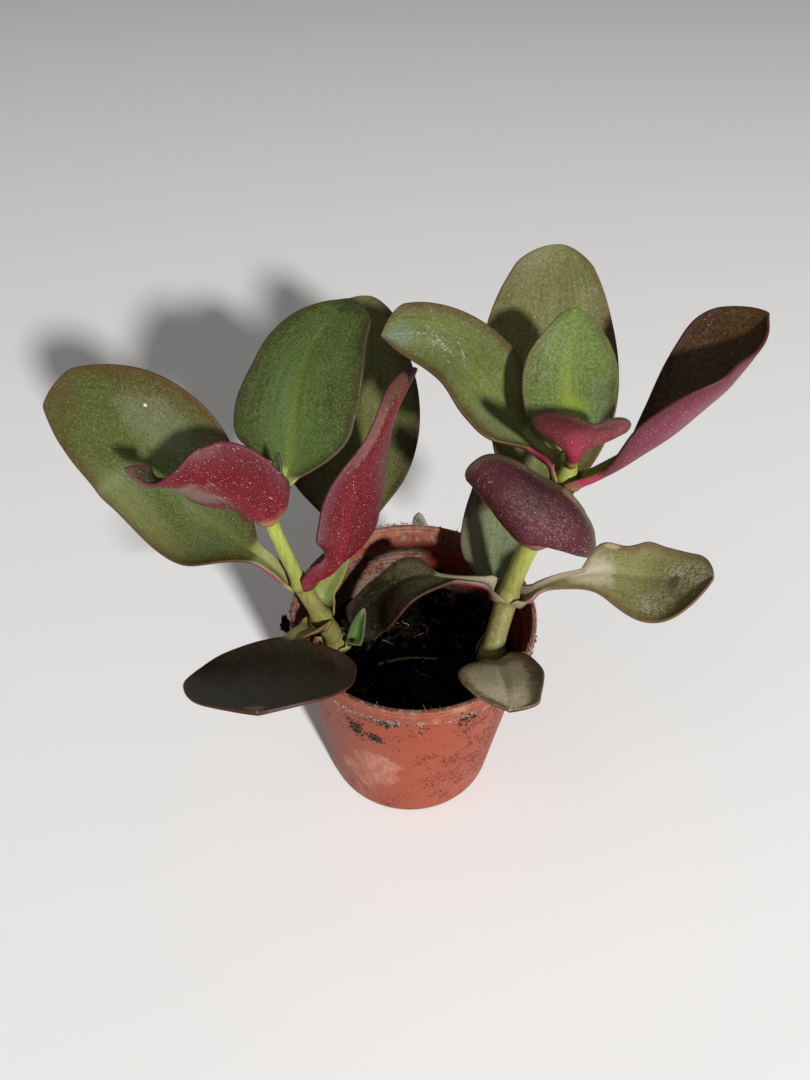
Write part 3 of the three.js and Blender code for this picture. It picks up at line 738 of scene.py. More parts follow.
class Stem:
    """A stem's path with its radius, which steps down past each node and swells at it."""

    def __init__(self, name):
        shape = STEMS[name]
        self.path = Path(shape["axis"])
        self.stations = self.path.stations()
        self.radii = shape["radii"]
        self.nodes = {node: self.stations[index] for node, index in shape["nodes"].items()}

    def radius(self, u):
        """The first radius, plus each eased step to the next, plus a bell at each node."""
        u = np.asarray(u, float)
        length = self.path.length
        radius = np.full(u.shape, float(self.radii[0]))
        for joint in range(1, len(self.radii)):
            past = (u - self.stations[joint]) * length / RADIUS_BLEND
            radius += (self.radii[joint] - self.radii[joint - 1]) * ease(past + 0.5)
        away = [(u - place) * length / NODE_SWELLING_LENGTH for place in self.nodes.values()]
        bulge = sum(np.exp(-a * a) for a in away)
        return radius + NODE_SWELLING * np.minimum(bulge, 1)


def swells(x, y, seed, lengths, heights):
    """A sum of sine waves in drawn directions: height times the sine of the way along each
    direction over its length, plus a drawn phase."""
    draw = np.random.default_rng(seed)
    total = np.zeros(np.broadcast(x, y).shape)
    for length, height in zip(lengths, heights):
        for _ in range(4):
            angle, phase = draw.uniform(0, 2 * np.pi, 2)
            way = x * np.cos(angle) + y * np.sin(angle)
            total += height / 2 * np.sin(way * 2 * np.pi / length + phase)
    return total


def along(values, u):
    """Numbers read at even stations along a short list, eased from one to the next."""
    place = np.clip(u, 0, 1) * (len(values) - 1)
    index = np.minimum(place.astype(int), len(values) - 2)
    table = np.array(values, float)
    return table[index] + (table[index + 1] - table[index]) * ease(place - index)


def directions_along(values, u):
    """Unit directions read at even stations along a short list, eased from one to the next."""
    table = unit(np.array(values, float))
    place = np.clip(u, 0, 1) * (len(table) - 1)
    index = np.minimum(place.astype(int), max(len(table) - 2, 0))
    part = ease(place - index)[:, None]
    return unit(table[index] * (1 - part) + table[np.minimum(index + 1, len(table) - 1)] * part)


def widths_along(start, values, u):
    """A smooth curve that rises from nothing at the start through widths at even stations:
    on each stretch the cubic whose slopes are half the differences of the widths on both
    sides. The last part ends in a half round."""
    widths = np.array([-values[0], 0, *values, 2 * values[-1] - values[-2]], float)
    place = np.clip((u - start) / (1 - start), 0, 1) * len(values)
    index = np.minimum(place.astype(int), len(values) - 1)
    w = place - index
    a, b, c, d = (widths[index + shift] for shift in range(4))
    curve = b + w / 2 * (c - a + w * (2 * a - 5 * b + 4 * c - d + w * (3 * b - a - 3 * c + d)))
    return np.maximum(curve, 0.1) * np.sqrt(1 - np.clip((u - ROUND_END) / (1 - ROUND_END), 0, 1) ** 2)


def half_width(u, shape, petiole):
    """Half width of a blade, joined by cubes with a petiole that thins to the tip. The blade
    runs through a list of widths, or is a power of the way from the start times a power of
    the way to the tip, scaled to its width. Also gives how much of it is petiole by cubes,
    which fades out past the first third."""
    if len(shape) > 4:
        blade = widths_along(shape[0], shape[1:], u)
    else:
        width, start, base, tip = shape
        s = np.clip((u - start) / (1 - start), 0, 1)
        widest = base / (base + tip)
        blade = (s / widest) ** base * ((1 - s) / (1 - widest)) ** tip * width
    stalk = petiole / 2 * np.sqrt(1 - u)
    share = stalk ** 3 / (blade ** 3 + stalk ** 3 + 1e-9)
    return np.cbrt(blade ** 3 + stalk ** 3), share * (1 - ease((u - 0.3) / 0.3))


def leaf_root(leaf):
    """How a leaf leaves its stem: its smooth midrib from the foot of the clasp, the way out
    at right angles to the stem, and the distance from the stem's axis to the clasp."""
    stem = Stem(leaf["stem"])
    station = stem.nodes[leaf["node"]]
    spots, ups = stem.path.at([station])
    node, up = spots[0], ups[0]
    heading = math.radians(leaf["turn"])
    out = np.array([math.cos(heading), math.sin(heading), 0])
    out = unit(out - up * (out @ up))
    reach = float(stem.radius(station)) + PIECE_GAP
    foot = node + out * reach - up * CLASP_DROP
    flare = node + out * (reach + CLASP_FLARE) + up * CLASP_RISE
    return Path([foot, flare, *leaf["midrib"]]), out, reach


def blurred(path, u):
    """Places and directions that are means of five reads over a short stretch of a path,
    which rounds its bends. The stretch shrinks to nothing at both ends."""
    steady = BEND_BLUR * ease(u / 0.3) * ease((1 - u) / 0.2)
    reads = [path.at(u * TIP_END + steady * shift) for shift in (-1, -0.5, 0, 0.5, 1)]
    centre, ahead = (sum(read) / len(reads) for read in zip(*reads))
    return centre, unit(ahead)


def leaf_depth(leaf, u, v, clasp, half, upper):
    """Thickness of a leaf at each point, and how far down into it the point lies as a share
    of that. The thickness falls from the midrib to the margin by the square of the way
    across, and the margin is a half round."""
    body = mixed(leaf["thickness"], CLASP_THICKNESS, clasp) * (1 - TIP_THINNING * u)
    edge = EDGE_THICKNESS * (1 - CLASP_THINNING * clasp)
    thick = edge + (np.maximum(body, EDGE_THICKNESS) - edge) * (1 - v * v)
    inset = np.clip((1 - np.abs(v)) * half / (edge / 2), 0, 1)
    round_off = np.sqrt(1 - (1 - inset) ** 2)
    return thick, np.where(upper, 0.5 - 0.5 * round_off, 0.5 + 0.5 * round_off)


def leaf_relief(leaf, path, u, v, clasp, half, upper, seed, swell):
    """Height of a leaf's waves, slow swells and midrib groove, and of the keel below it.
    Waves grow with the square of the way across; groove and keel are bells of the way
    across in millimetres."""
    across, far, free = half * v, u * path.length, 1 - clasp
    waves = leaf.get("wave", 0) * v * v * np.sin(WAVE_ALONG * u + WAVE_ACROSS * v) * free
    calm = free * ease((path.length - far) / 6) * np.minimum(half / 8, 1)
    waves = waves + swell * calm * swells(across, far, seed, SWELL_LENGTHS, SWELL_SHARES)
    groove = np.exp(-(across / GROOVE_WIDTH) ** 2) * free * ease((1 - u) * 3)
    keel = np.exp(-(across / KEEL_WIDTH) ** 2) * free * (1 - u)
    return waves - np.where(upper, GROOVE_DEPTH, 0) * groove, np.where(upper, 0, KEEL_HEIGHT) * keel


def leaf_surface(leaf, seed, settings):
    """The skin of a leaf on a grid: u runs from clasp to tip, and the angle runs once round
    the cross-section, over the upper side from right to left and back under the lower side.

    Across the blade the point is the midrib plus half the width times the sine of the bend
    over the bend, raised by one less the cosine; the lower side is set back along the
    surface's normal by the thickness."""
    path, out, reach = leaf_root(leaf)
    rows = max(LEAST_ROWS, int(path.length / settings.step))
    small = max(leaf["left"] + leaf["right"]) <= SMALL_LEAF
    around = settings.around // 2 if small else settings.around
    u = (1 - (1 - np.linspace(0, 1, rows)) ** TIP_CROWDING) * LAST_ROW
    angle = np.linspace(0, 2 * np.pi, around, endpoint=False)
    v = np.cos(angle)[None, :]
    upper = np.sin(angle)[None, :] >= -1e-9

    centre, ahead = blurred(path, u)
    clasp = 1 - ease(u * path.length / CLASP_LENGTH)
    facing = unit(mixed(directions_along(leaf["facing"], u), -out, clasp[:, None]))
    right = unit(np.cross(ahead, facing))
    above = np.cross(right, ahead)
    hold = leaf.get("clasp", CLASP_ANGLE)
    bend = np.radians(mixed(np.maximum(along(leaf["cup"], u), 1), hold, clasp))[:, None]
    sides, stalks = zip(*(half_width(u, leaf[key], leaf["petiole"]) for key in ("left", "right")))
    left, right_side = (mixed(half, reach * math.radians(hold), clasp)[:, None] for half in sides)
    half = np.where(v < 0, left, right_side)

    u, clasp = u[:, None], clasp[:, None]
    thick, depth = leaf_depth(leaf, u, v, clasp, half, upper)
    height, keel = leaf_relief(leaf, path, u, v, clasp, half, upper, seed, settings.swell)
    drop = thick * depth + keel
    turn = bend * v
    side_way = half * np.sin(turn) / bend + drop * np.sin(turn)
    high_way = half * (1 - np.cos(turn)) / bend + height - drop * np.cos(turn)
    points = centre[:, None] + right[:, None] * side_way[..., None] + above[:, None] * high_way[..., None]

    stalk = np.where(v < 0, stalks[0][:, None], stalks[1][:, None])
    layers = {
        "margin": (1 - np.abs(v)) * half,
        "across": half * v,
        "underside": depth,
        "stalk": np.maximum(stalk, clasp),
        "joint": np.broadcast_to(clasp, half.shape),
    }
    return points, np.broadcast_to(u, half.shape), np.broadcast_to(v, half.shape), layers


def ring_faces(rows, around):
    """Four-sided faces of a grid of rows of points that close round."""
    row, step = np.meshgrid(np.arange(rows - 1), np.arange(around), indexing="ij")
    after = (step + 1) % around
    corners = (row * around + step, row * around + after, (row + 1) * around + after,
               (row + 1) * around + step)
    return np.stack(corners, axis=-1).reshape(-1, 4)


def seam_faces(first, around, flip):
    """Faces that close the end ring of a flat tube, which join each point to the one across."""
    low = np.arange(1, around // 2 - 1)
    quads = np.stack([low, low + 1, around - low - 1, around - low], axis=-1) + first
    ends = np.array([[0, 1, around - 1], [around // 2 - 1, around // 2, around // 2 + 1]]) + first
    return (quads[:, ::-1], ends[:, ::-1]) if flip else (quads, ends)


def outward(points, quads, triangles):
    """A skin whose faces are turned over if the volume they enclose comes out negative."""
    fans = np.vstack([triangles, quads[:, [0, 1, 2]], quads[:, [0, 2, 3]]])
    a, b, c = (points[fans[:, corner]] for corner in range(3))
    if np.einsum("ij,ij->i", a, np.cross(b, c)).sum() < 0:
        return points, quads[:, ::-1], triangles[:, ::-1]
    return points, quads, triangles


def closed_tube(rings, first, last):
    """Skin of a grid of rings that ends in a point at each end: four-sided faces from ring
    to ring and a fan of triangles round each end point."""
    rows, around = rings.shape[:2]
    step = np.arange(around)
    after = (step + 1) % around
    total = rows * around
    fans = np.vstack([
        np.stack([after, step, np.full(around, total)], axis=-1),
        np.stack([total - around + step, total - around + after, np.full(around, total + 1)], axis=-1),
    ])
    points = np.vstack([rings.reshape(-1, 3), first, last])
    return outward(points, ring_faces(rows, around), fans)


def closed_sheet(rings):
    """Skin of a grid of flat rings whose first and last ring are sewn shut."""
    rows, around = rings.shape[:2]
    foot_quads, foot_ends = seam_faces(0, around, True)
    tip_quads, tip_ends = seam_faces((rows - 1) * around, around, False)
    quads = np.vstack([ring_faces(rows, around), foot_quads, tip_quads])
    return outward(rings.reshape(-1, 3), quads, np.vstack([foot_ends, tip_ends]))


def swept(centre, first, second, angle, reach, flatness=1):
    """Rings along a path: centre plus reach times the cosine along the first side plus
    reach times flatness times the sine along the second."""
    along_first = (reach * np.cos(angle))[..., None]
    along_second = (flatness * reach * np.sin(angle))[..., None]
    return centre[:, None] + first[:, None] * along_first + second[:, None] * along_second


def make_piece(name, skin, material, replaced=(), layers=None, uv=None):
    """Puts a skin's millimetre points and its faces into a mesh of metres, with a number at
    each point for each layer, and lets the piece ride."""
    points, quads, triangles = skin
    corners = np.concatenate([quads.ravel(), triangles.ravel()])
    counts = [4] * len(quads) + [3] * len(triangles)
    mesh = bpy.data.meshes.new(name)
    mesh.vertices.add(len(points))
    mesh.vertices.foreach_set("co", (points * MM).astype(np.float32).ravel())
    mesh.loops.add(len(corners))
    mesh.loops.foreach_set("vertex_index", corners.astype(np.int32))
    mesh.polygons.add(len(counts))
    starts = np.concatenate([[0], np.cumsum(counts)[:-1]])
    mesh.polygons.foreach_set("loop_start", starts.astype(np.int32))
    mesh.polygons.foreach_set("use_smooth", np.ones(len(counts), bool))
    if uv is not None:
        mesh.uv_layers.new(name="UVMap").data.foreach_set("uv", uv[corners].astype(np.float32).ravel())
    for key, values in (layers or {}).items():
        spots = mesh.attributes.new(key, "FLOAT", "POINT")
        spots.data.foreach_set("value", np.asarray(values, np.float32).ravel())
    mesh.update(calc_edges=True)
    mesh.validate()
    mesh.materials.append(material)
    piece = bpy.data.objects.new(name, mesh)
    bpy.context.scene.collection.objects.link(piece)
    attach(piece, ROOT)
    if replaced:
        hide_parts(*replaced)
    return piece


def patch_mask(u, v, ragged, patch):
    """An oval blotch in the blade's own coordinates with a ragged edge."""
    centre_u, centre_v, length, width = patch[:4]
    along_blade = (u - centre_u) / length
    over_blade = (v - centre_v) / width
    distance = (along_blade * along_blade + over_blade * over_blade) ** 0.5
    return 1 - (distance + (ragged - 0.5) * 1.4).rise(0.45, 1.05)


def scratch_mask(graph, u, v, wobble, scratches):
    """Fine straight lines, each from one place of the blade to another: the distance to the
    line's stretch, with v counted half as much as u, less a wobble."""
    lines = u * 0
    for start_u, start_v, end_u, end_v in scratches:
        run_u, run_v = end_u - start_u, (end_v - start_v) / 2
        reach = run_u * run_u + run_v * run_v
        from_u, from_v = u - start_u, (v - start_v) / 2
        part = graph.node("ShaderNodeClamp", None, {0: (from_u * run_u + from_v * run_v) / reach})
        aside_u, aside_v = from_u - part * run_u, from_v - part * run_v
        away = (aside_u * aside_u + aside_v * aside_v) ** 0.5 + (wobble - 0.5) * 0.05
        lines = graph.math("MAXIMUM", lines, 1 - abs(away).rise(0.0008, 0.004))
    return lines


def leaf_side(graph, fields, look, side, patches):
    """Colour of one side of a leaf: its outer and middle tones, fine mottling, the midrib,
    pale grain, bloom, blotches, flecks, dashes and a darker margin."""
    inner, outer, rib = (tint(code) for code in look[side])
    mottling, veil, dashes = SIDE_STRENGTHS[side]
    depth = 1 - abs(fields["v"]) + (fields["broad"] - 0.5) * 1.5
    tone = graph.mix(depth.rise(0.0, 0.62), outer, inner)
    tone = graph.scaled(tone, (fields["grain"] - 0.5) * mottling + (fields["streak"] - 0.5) * 0.6 + 1)
    glow = (fields["across"] / 1.5).bell() * (1 - fields["u"]) ** 1.4
    tone = graph.mix(glow * 0.85, tone, rib)
    tone = graph.mix(fields["pale"] * look["grain"] * 0.36 * veil, tone, tint(PALE_GRAIN))
    tone = graph.mix(fields["bloom"] * look["bloom"] * veil, tone, tint(BLOOM))
    for patch in patches:
        colour, strength, *pattern = patch[4:]
        mask = patch_mask(fields["u"], fields["v"], fields["ragged"], patch)
        for name in pattern:
            mask = mask * fields[name]
        tone = graph.mix(mask * strength, tone, tint(colour))
    sparks = fields["fleck"] + fields["dash"] * dashes
    tone = graph.mix(graph.math("MINIMUM", sparks * look["flecks"], 1), tone, tint(FLECK))
    band = 1 - (fields["margin"] + (fields["ragged"] - 0.5) * 3).rise(0.2, 2.4)
    return graph.mix(band * 0.55, tone, tint(look["margin"]))


def leaf_fields(graph, leaf, look):
    """The patterns that mix a leaf's colours, each a number over its skin. u and v run along
    and across the blade. Specks are the middles of scattered cells in space, and dashes are
    those of cells drawn out along the blade; flecks add a fine mist to the specks. The pale
    grain is finer on the leaves that have little of it."""
    u, v, _ = graph.parts(graph.node("ShaderNodeUVMap", {"uv_map": "UVMap"}))
    v = v * 2 - 1
    grain = graph.noise(graph.place, 2.1, 2.5, 0.7)
    ragged = graph.noise(graph.place, 0.5, 5, 0.65)
    streak = graph.noise(graph.vector(v * 13, u * 3, u * 0), 1.0, 4, 0.6)
    distance, draw = graph.cells(graph.place, 1.5)
    distance = distance + (grain - 0.5) * 0.12
    speck = (1 - (distance - draw ** 8 * 0.1).rise(0.04, 0.11)) * draw.rise(0.2, 0.9)
    mist = graph.noise(graph.place, 3.6, 2, 0.6).rise(0.64, 0.7)
    across = graph.attribute("across")
    far, chance = graph.cells(graph.vector(across * 1.9, u * leaf_length(leaf) * 0.75, u * 0), 1.0)
    pale_scale = 1.9 if look["grain"] > 0.9 else 2.6
    return {
        "u": u, "v": v, "grain": grain, "ragged": ragged, "streak": streak, "speck": speck,
        "across": across, "margin": graph.attribute("margin"),
        "fleck": graph.math("MAXIMUM", speck, mist * 0.5),
        "dash": (1 - (far + (grain - 0.5) * 0.2).rise(0.07, 0.17)) * chance.rise(0.4, 1.0),
        "broad": graph.noise(graph.place, 0.075, 3, 0.5),
        "pale": (graph.noise(graph.place, pale_scale, 1.5, 0.6) + (streak - 0.5) * 0.4).rise(0.49, 0.6),
        "bloom": (ragged * 0.7 + grain * 0.3).rise(0.46, 0.62),
        "dust": (ragged * 0.35 + grain * 0.65).rise(0.45, 0.58),
        "web": 1 - abs(graph.noise(graph.place, 0.42, 4, 0.6) - 0.5).rise(0.004, 0.022),
    }


def leaf_material(name, leaf):
    """Waxy leaf skin, green to bronze above and crimson beneath. The petiole and the joint
    have colours of their own."""
    look = LOOKS[leaf["look"]]
    graph = Graph(name)
    fields = leaf_fields(graph, leaf, look)
    grain, ragged = fields["grain"], fields["ragged"]
    upper = leaf_side(graph, fields, look, "upper", leaf.get("upper_patches", []))
    lower = leaf_side(graph, fields, look, "lower", leaf.get("lower_patches", []))
    if "scratches" in leaf:
        scored = scratch_mask(graph, fields["u"], fields["v"], ragged, leaf["scratches"])
        upper = graph.mix(scored * grain.rise(0.3, 0.6) * 0.6, upper, tint(SCRATCH))
    under = graph.attribute("underside").rise(0.3, 0.6)
    stalk = graph.attribute("stalk").rise(0.2, 0.85)
    above, below = (graph.scaled(tint(code), grain * 0.9 + 0.55) for code in look["petiole"])
    if "flank" in leaf:
        above = graph.mix(1 - fields["v"].rise(-0.3, -0.1), above, tint(leaf["flank"]))
    colour = graph.mix(under, graph.mix(stalk, upper, above), graph.mix(stalk, lower, below))
    joint = (graph.attribute("joint") + (ragged - 0.5) * 0.5).rise(0.35, 0.95)
    clasped = graph.scaled(tint(leaf.get("joint", JOINT)), grain + 0.5)
    colour = graph.mix(joint, colour, clasped)
    relief = grain * 0.7 + fields["speck"] * 0.3 + fields["streak"] * 0.5
    roughness = grain * 0.2 + fields["bloom"] * look["bloom"] * 0.25 + 0.36
    return graph.finish(colour, roughness, graph.bump(relief, 0.12), specular=0.2)


def leaf_length(leaf):
    """Length of a leaf's midrib past its clasp, as straight stretches."""
    return float(np.linalg.norm(np.diff(np.array(leaf["midrib"], float), axis=0), axis=1).sum())


STEM_TINTS = {"pale_streak": "8a8662", "green_streak": "6e7a38", "spot": "5a4426", "dot": "d0cfa8"}


def stem_material(name, settings):
    """Stem skin: yellow-green above, beige olive below, with fine streaks along it, small
    brown spots low down, pale dots and brown at the node rings."""
    graph = Graph(name)
    fine = graph.noise(graph.stretched((1, 1, 0.35)), 1.0, 5, 0.65)
    streak = graph.noise(graph.stretched((1.6, 1.6, 0.14)), 1.0, 4, 0.6)
    broad = graph.noise(graph.place, 0.16, 3)
    height = graph.parts(graph.place)[2]
    aged = 1 - (height + (broad - 0.5) * 14).rise(56, 76)
    colour = graph.mix(aged, settings.young, settings.old)
    colour = graph.scaled(colour, (fine - 0.5) * 0.7 + (streak - 0.5) * 0.9 + 1)
    colour = graph.mix(streak.rise(0.52, 0.68) * aged * 0.5, colour, tint(STEM_TINTS["pale_streak"]))
    colour = graph.mix(fine.rise(0.5, 0.75) * 0.35, colour, tint(STEM_TINTS["green_streak"]))
    spots = graph.noise(graph.place, 0.8, 4, 0.7).rise(0.6, 0.68)
    colour = graph.mix(spots * aged * 0.6, colour, tint(STEM_TINTS["spot"]))
    colour = graph.mix(graph.attribute("ring") * 0.8, colour, settings.node)
    distance, draw = graph.cells(graph.place, 1.1)
    dots = (1 - distance.rise(0.06, 0.16)) * draw.rise(0.5, 0.6)
    colour = graph.mix(dots * 0.5, colour, tint(STEM_TINTS["dot"]))
    return graph.finish(colour, fine * 0.15 + 0.4, graph.bump(fine, 0.12), specular=0.2)


def pot_size():
    """Rim radius and height of the pot's solid, in millimetres."""
    _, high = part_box("pot")
    return high.x / MM, high.z / MM


# The pot below its collar, its drain holes and roundings, and the soil's gap and fineness
BASE_RADIUS = 21
RIM_BEVEL = 0.3
FLOOR_THICKNESS = 1.4
LEDGE_DROP = 6.5
DRAIN_RADIUS = 2
DRAIN_CIRCLE = 13.5
DRAINS = 6
FOOT_ROUND = 1.6
COLLAR_ROUND = 0.35
RIM_ROUND = 0.4
SOIL_GAP = 0.15
SOIL_SEGMENTS = 260
SOIL_RINGS = 110


def outer_wall(z, settings):
    """Radius of the tapered outer wall: straight from the base to the foot of the collar."""
    rim, height = pot_size()
    top = rim - settings.ledge - RIM_BEVEL
    return BASE_RADIUS + (top - BASE_RADIUS) * z / (height - settings.collar)


# Marks on the pot's wall: angle round the pot, height, half width, half height and strength.
# The smear leans by a share of height times the turn away from its middle, in radians.
SMEAR = (-111, 24, 6.2, 13)
SMEAR_TURN = 1.885
SMEAR_LEAN = 0.14
DIRT_MARKS = [
    (-117, 41.5, 2.2, 4, 0.9), (-107, 39, 2, 2.6, 0.7), (-61, 45.5, 2.6, 5, 0.8),
    (-80, 31.5, 2.4, 2, 0.45), (-72, 15, 6, 8, 0.3), (-62, 24, 4, 7, 0.2), (-38, 28, 7, 26, 0.34),
    (-108, 4.5, 2, 2, 0.4), (-88, 6, 3, 3, 0.3), (-138, 36, 4, 9, 0.3), (-100, 48, 6, 1.8, 0.3),
]
# ring is painted shade: the grooves of the moulded rings inside the pot, darkened
POT_TINTS = {
    # line is a painted highlight along the rim
    "sunned": "96442c", "ring": "5a2416", "cling": "6c5c4e", "smear": "b8846e", "line": "b08a7a",
    "speck": "521d12",
}


def mark_distance(spot, mark):
    """How far a place is from a mark on the wall, in half widths of the mark."""
    angle, level, wide, tall = mark[:4]
    aside = (spot.around - math.radians(angle)) * (BASE_RADIUS + 3) / wide
    above = (spot.height - level) / tall
    return (aside * aside + above * above) ** 0.5


def pot_slope(settings):
    """How much the outer wall widens for each millimetre of height."""
    return float(outer_wall(20, settings) - outer_wall(10, settings)) / 10


def arc(centre, radius, start, stop, steps):
    """Points of an arc between two angles in degrees, as radius and height pairs."""
    angle = np.radians(np.linspace(start, stop, steps))
    return np.stack([centre[0] + radius * np.cos(angle), centre[1] + radius * np.sin(angle)], axis=-1)


def pot_profile(settings):
    """Outline of the pot's wall from the middle of the underside, up the outside, over the
    rim and down inside, with straight stretches cut into short steps."""
    rim, height = pot_size()
    foot = height - settings.collar
    ledge = height - LEDGE_DROP
    inner = rim - settings.wall
    base = BASE_RADIUS - FOOT_ROUND

    def outside(level):
        return [outer_wall(level, settings), level]

    def inside(level):
        return [outer_wall(level, settings) - settings.wall, level]

    return np.vstack([
        np.linspace([0, 0], [base, 0], 8),
        arc((base, FOOT_ROUND), FOOT_ROUND, -90, -4, 7),
        np.linspace(outside(FOOT_ROUND), outside(foot), 40),
        arc((rim - COLLAR_ROUND, foot + COLLAR_ROUND), COLLAR_ROUND, -90, 0, 5),
        np.linspace([rim, foot + 0.5], [rim, height - RIM_ROUND], 8),
        arc((rim - RIM_ROUND, height - RIM_ROUND), RIM_ROUND, 0, 90, 6),
        arc((inner + COLLAR_ROUND, height - COLLAR_ROUND), COLLAR_ROUND, 90, 180, 5),
        np.linspace([inner, height - 0.5], [inner - 0.2, ledge + 0.6], 10),
        np.linspace(inside(ledge), inside(36), 16),
        np.linspace(inside(35), inside(FLOOR_THICKNESS), 12),
        np.linspace([BASE_RADIUS - 3, FLOOR_THICKNESS], [0, FLOOR_THICKNESS], 8),
    ])


def lathe(profile, segments):
    """Skin of a profile turned about the upright axis: radius times cosine, radius times
    sine, height. The first and last points of the profile lie on the axis."""
    angle = np.linspace(0, 2 * np.pi, segments, endpoint=False)
    radius, height = profile[1:-1, :1], profile[1:-1, 1:]
    rings = np.stack([radius * np.cos(angle), radius * np.sin(angle), height + 0 * angle], axis=-1)
    return closed_tube(rings, [0, 0, profile[0][1]], [0, 0, profile[-1][1]])


def pot_fields(graph, settings):
    """What mixes the pot's colours: place, angle round the pot, three noises, and a number
    that is 1 on the inside of the wall."""
    x, y, height = graph.parts(graph.place)
    _, rim_height = pot_size()
    reach = (x * x + y * y) ** 0.5
    return SimpleNamespace(
        x=x, y=y, height=height, above_rim=height - rim_height,
        above_foot=height - (rim_height - settings.collar),
        around=graph.math("ARCTAN2", y, x),
        fine=graph.noise(graph.place, 1.6, 6, 0.7),
        broad=graph.noise(graph.place, 0.06, 4, 0.6),
        rough=graph.noise(graph.stretched((1, 1, 0.6)), 0.5, 8, 0.75),
        inside=1 - (reach - height * pot_slope(settings) - outer_wall(0, settings)).rise(-0.8, -0.4),
    )


def pot_crust(graph, spot):
    """Mineral crust: a line along the foot of the collar, patches on the band above it and a
    broken line on the rim."""
    ledge = ((spot.above_foot - 0.3) / 1.1).bell() * spot.rough.rise(0.4, 0.58)
    band = spot.above_foot.rise(0.5, 1.5) * (spot.broad + spot.rough).rise(0.9, 1.3)
    band = band * spot.rough.rise(0.5, 0.62) * 0.7
    edge = (spot.above_rim / 0.5).bell() * spot.rough.rise(0.42, 0.6)
    return graph.math("MINIMUM", ledge + band + edge, 1)


def pot_smear(graph, spot):
    """The chalky smear on the front: an oval mark that leans, with a lobed and ragged edge,
    brushed thinner and thicker."""
    brushed = graph.noise(graph.stretched((1, 1, 0.5)), 0.45, 6, 0.75)
    lobes = graph.noise(graph.place, 0.12, 2, 0.5)
    lean = (spot.around + SMEAR_TURN) * (SMEAR[1] - spot.height) * SMEAR_LEAN
    ragged = (spot.rough - 0.5) * 1.4 + (lobes - 0.5) * 3 + lean
    smear = 1 - (mark_distance(spot, SMEAR) + ragged).rise(0.55, 1.05)
    return smear * (brushed.rise(0.35, 0.65) * 0.4 + 0.14)


def pot_specks(graph, spot):
    """Specks of soil: the middles of coarse and of fine cells, wherever distance and chance
    stay below a density that is highest at the marks."""
    density = (graph.noise(graph.place, 0.2, 4, 0.65) - 0.5) * 1.9 + spot.x * 0.006 + 0.15
    for mark in DIRT_MARKS:
        density = density + mark_distance(spot, mark).bell() * mark[4]
    density = graph.math("MINIMUM", density + (spot.rough - 0.5) * 1.1, 0.52)
    place = graph.stretched((1, 1, 0.75))
    distance, chance = graph.cells(place, 1.5)
    dirt = 1 - (distance + (spot.fine - 0.5) * 1.1 - density + chance * 0.42).rise(-0.02, 0.05)
    distance, chance = graph.cells(place, 3.1)
    tiny = 1 - (distance + (spot.fine - 0.5) * 0.6 - density * 0.8 + chance * 0.4).rise(-0.03, 0.04)
    return graph.math("MAXIMUM", dirt, tiny)


def pot_material(settings):
    """Moulded orange plastic, its moulded rings inside darkened as painted shade in their grooves, soil and
    dust inside, dried-water film, mineral crust at the rim, a chalky smear, soil specks and two thin pale
    lines along the rim that are painted highlights."""
    graph = Graph("pot_plastic")
    tints = {name: tint(code) for name, code in POT_TINTS.items()}
    spot = pot_fields(graph, settings)
    height, fine, broad, rough, inside = spot.height, spot.fine, spot.broad, spot.rough, spot.inside
    colour = graph.mix(broad.rise(0.4, 0.7) * 0.35, settings.plastic, tints["sunned"])
    # Painted shade: the moulded rings inside are darkened in fine bands, as shade in their grooves
    rings = inside * (height * 5.2 + fine * 1.2).sine().rise(-0.2, 0.9)
    colour = graph.mix(rings * 0.3, colour, tints["ring"])
    stain = inside * (1 - (height + (rough - 0.5) * 26 + (broad - 0.5) * 12).rise(37, 43))
    colour = graph.mix(stain * 0.9, colour, settings.dirt)
    clouds = graph.noise(graph.place, 0.9, 6, 0.8)
    cling = inside * (clouds * 0.6 + broad * 0.5 + (spot.around - 2.4).bell() * 0.16).rise(0.6, 0.68)
    colour = graph.mix(cling * 0.8, colour, tints["cling"])
    film = (spot.x * -0.05 + spot.y * -0.01 + broad * 1.6 + rough * 0.9).rise(1.6, 2.8)
    colour = graph.mix(film * 0.45, colour, settings.dust)
    crust = pot_crust(graph, spot)
    colour = graph.mix(crust * 0.8, colour, settings.crust)
    colour = graph.mix(pot_smear(graph, spot), colour, tints["smear"])
    # Painted highlights: two thin pale lines along the rim, where it rounds over and 1.5 mm lower on the
    # collar
    lines = ((spot.above_rim + 1.5) / 0.14).bell() + ((spot.above_rim + 0.4) / 0.16).bell()
    colour = graph.mix(lines * rough.rise(0.3, 0.6) * 0.4, colour, tints["line"])
    dirt = pot_specks(graph, spot)
    crumb = graph.mix((height + (fine - 0.5) * 12).rise(32, 38), tints["speck"], settings.dirt)
    colour = graph.mix(dirt * 0.9, colour, crumb)
    relief = fine * 0.15 + crust * 0.6 + dirt * 0.5 + rings * 0.35 + cling * 0.5
    roughness = crust * 0.35 + dirt * 0.3 + film * 0.15 + fine * 0.1 + stain * 0.3 + 0.4
    return graph.finish(colour, roughness, graph.bump(relief, 0.3), specular=0.25)


SOIL_GRAIN = "5c4636"


def soil_height(x, y):
    """The soil's slow swell, the same as in the solid."""
    swell = np.sin(x * 0.21 + 0.6) * np.cos(y * 0.17 - 0.4)
    lumps = np.sin(x * 0.53 + y * 0.31) * np.cos(y * 0.47 - x * 0.22 + 1.3)
    return bpy.context.scene.soil_look.level + 1.1 * (0.6 * swell + 0.4 * lumps)


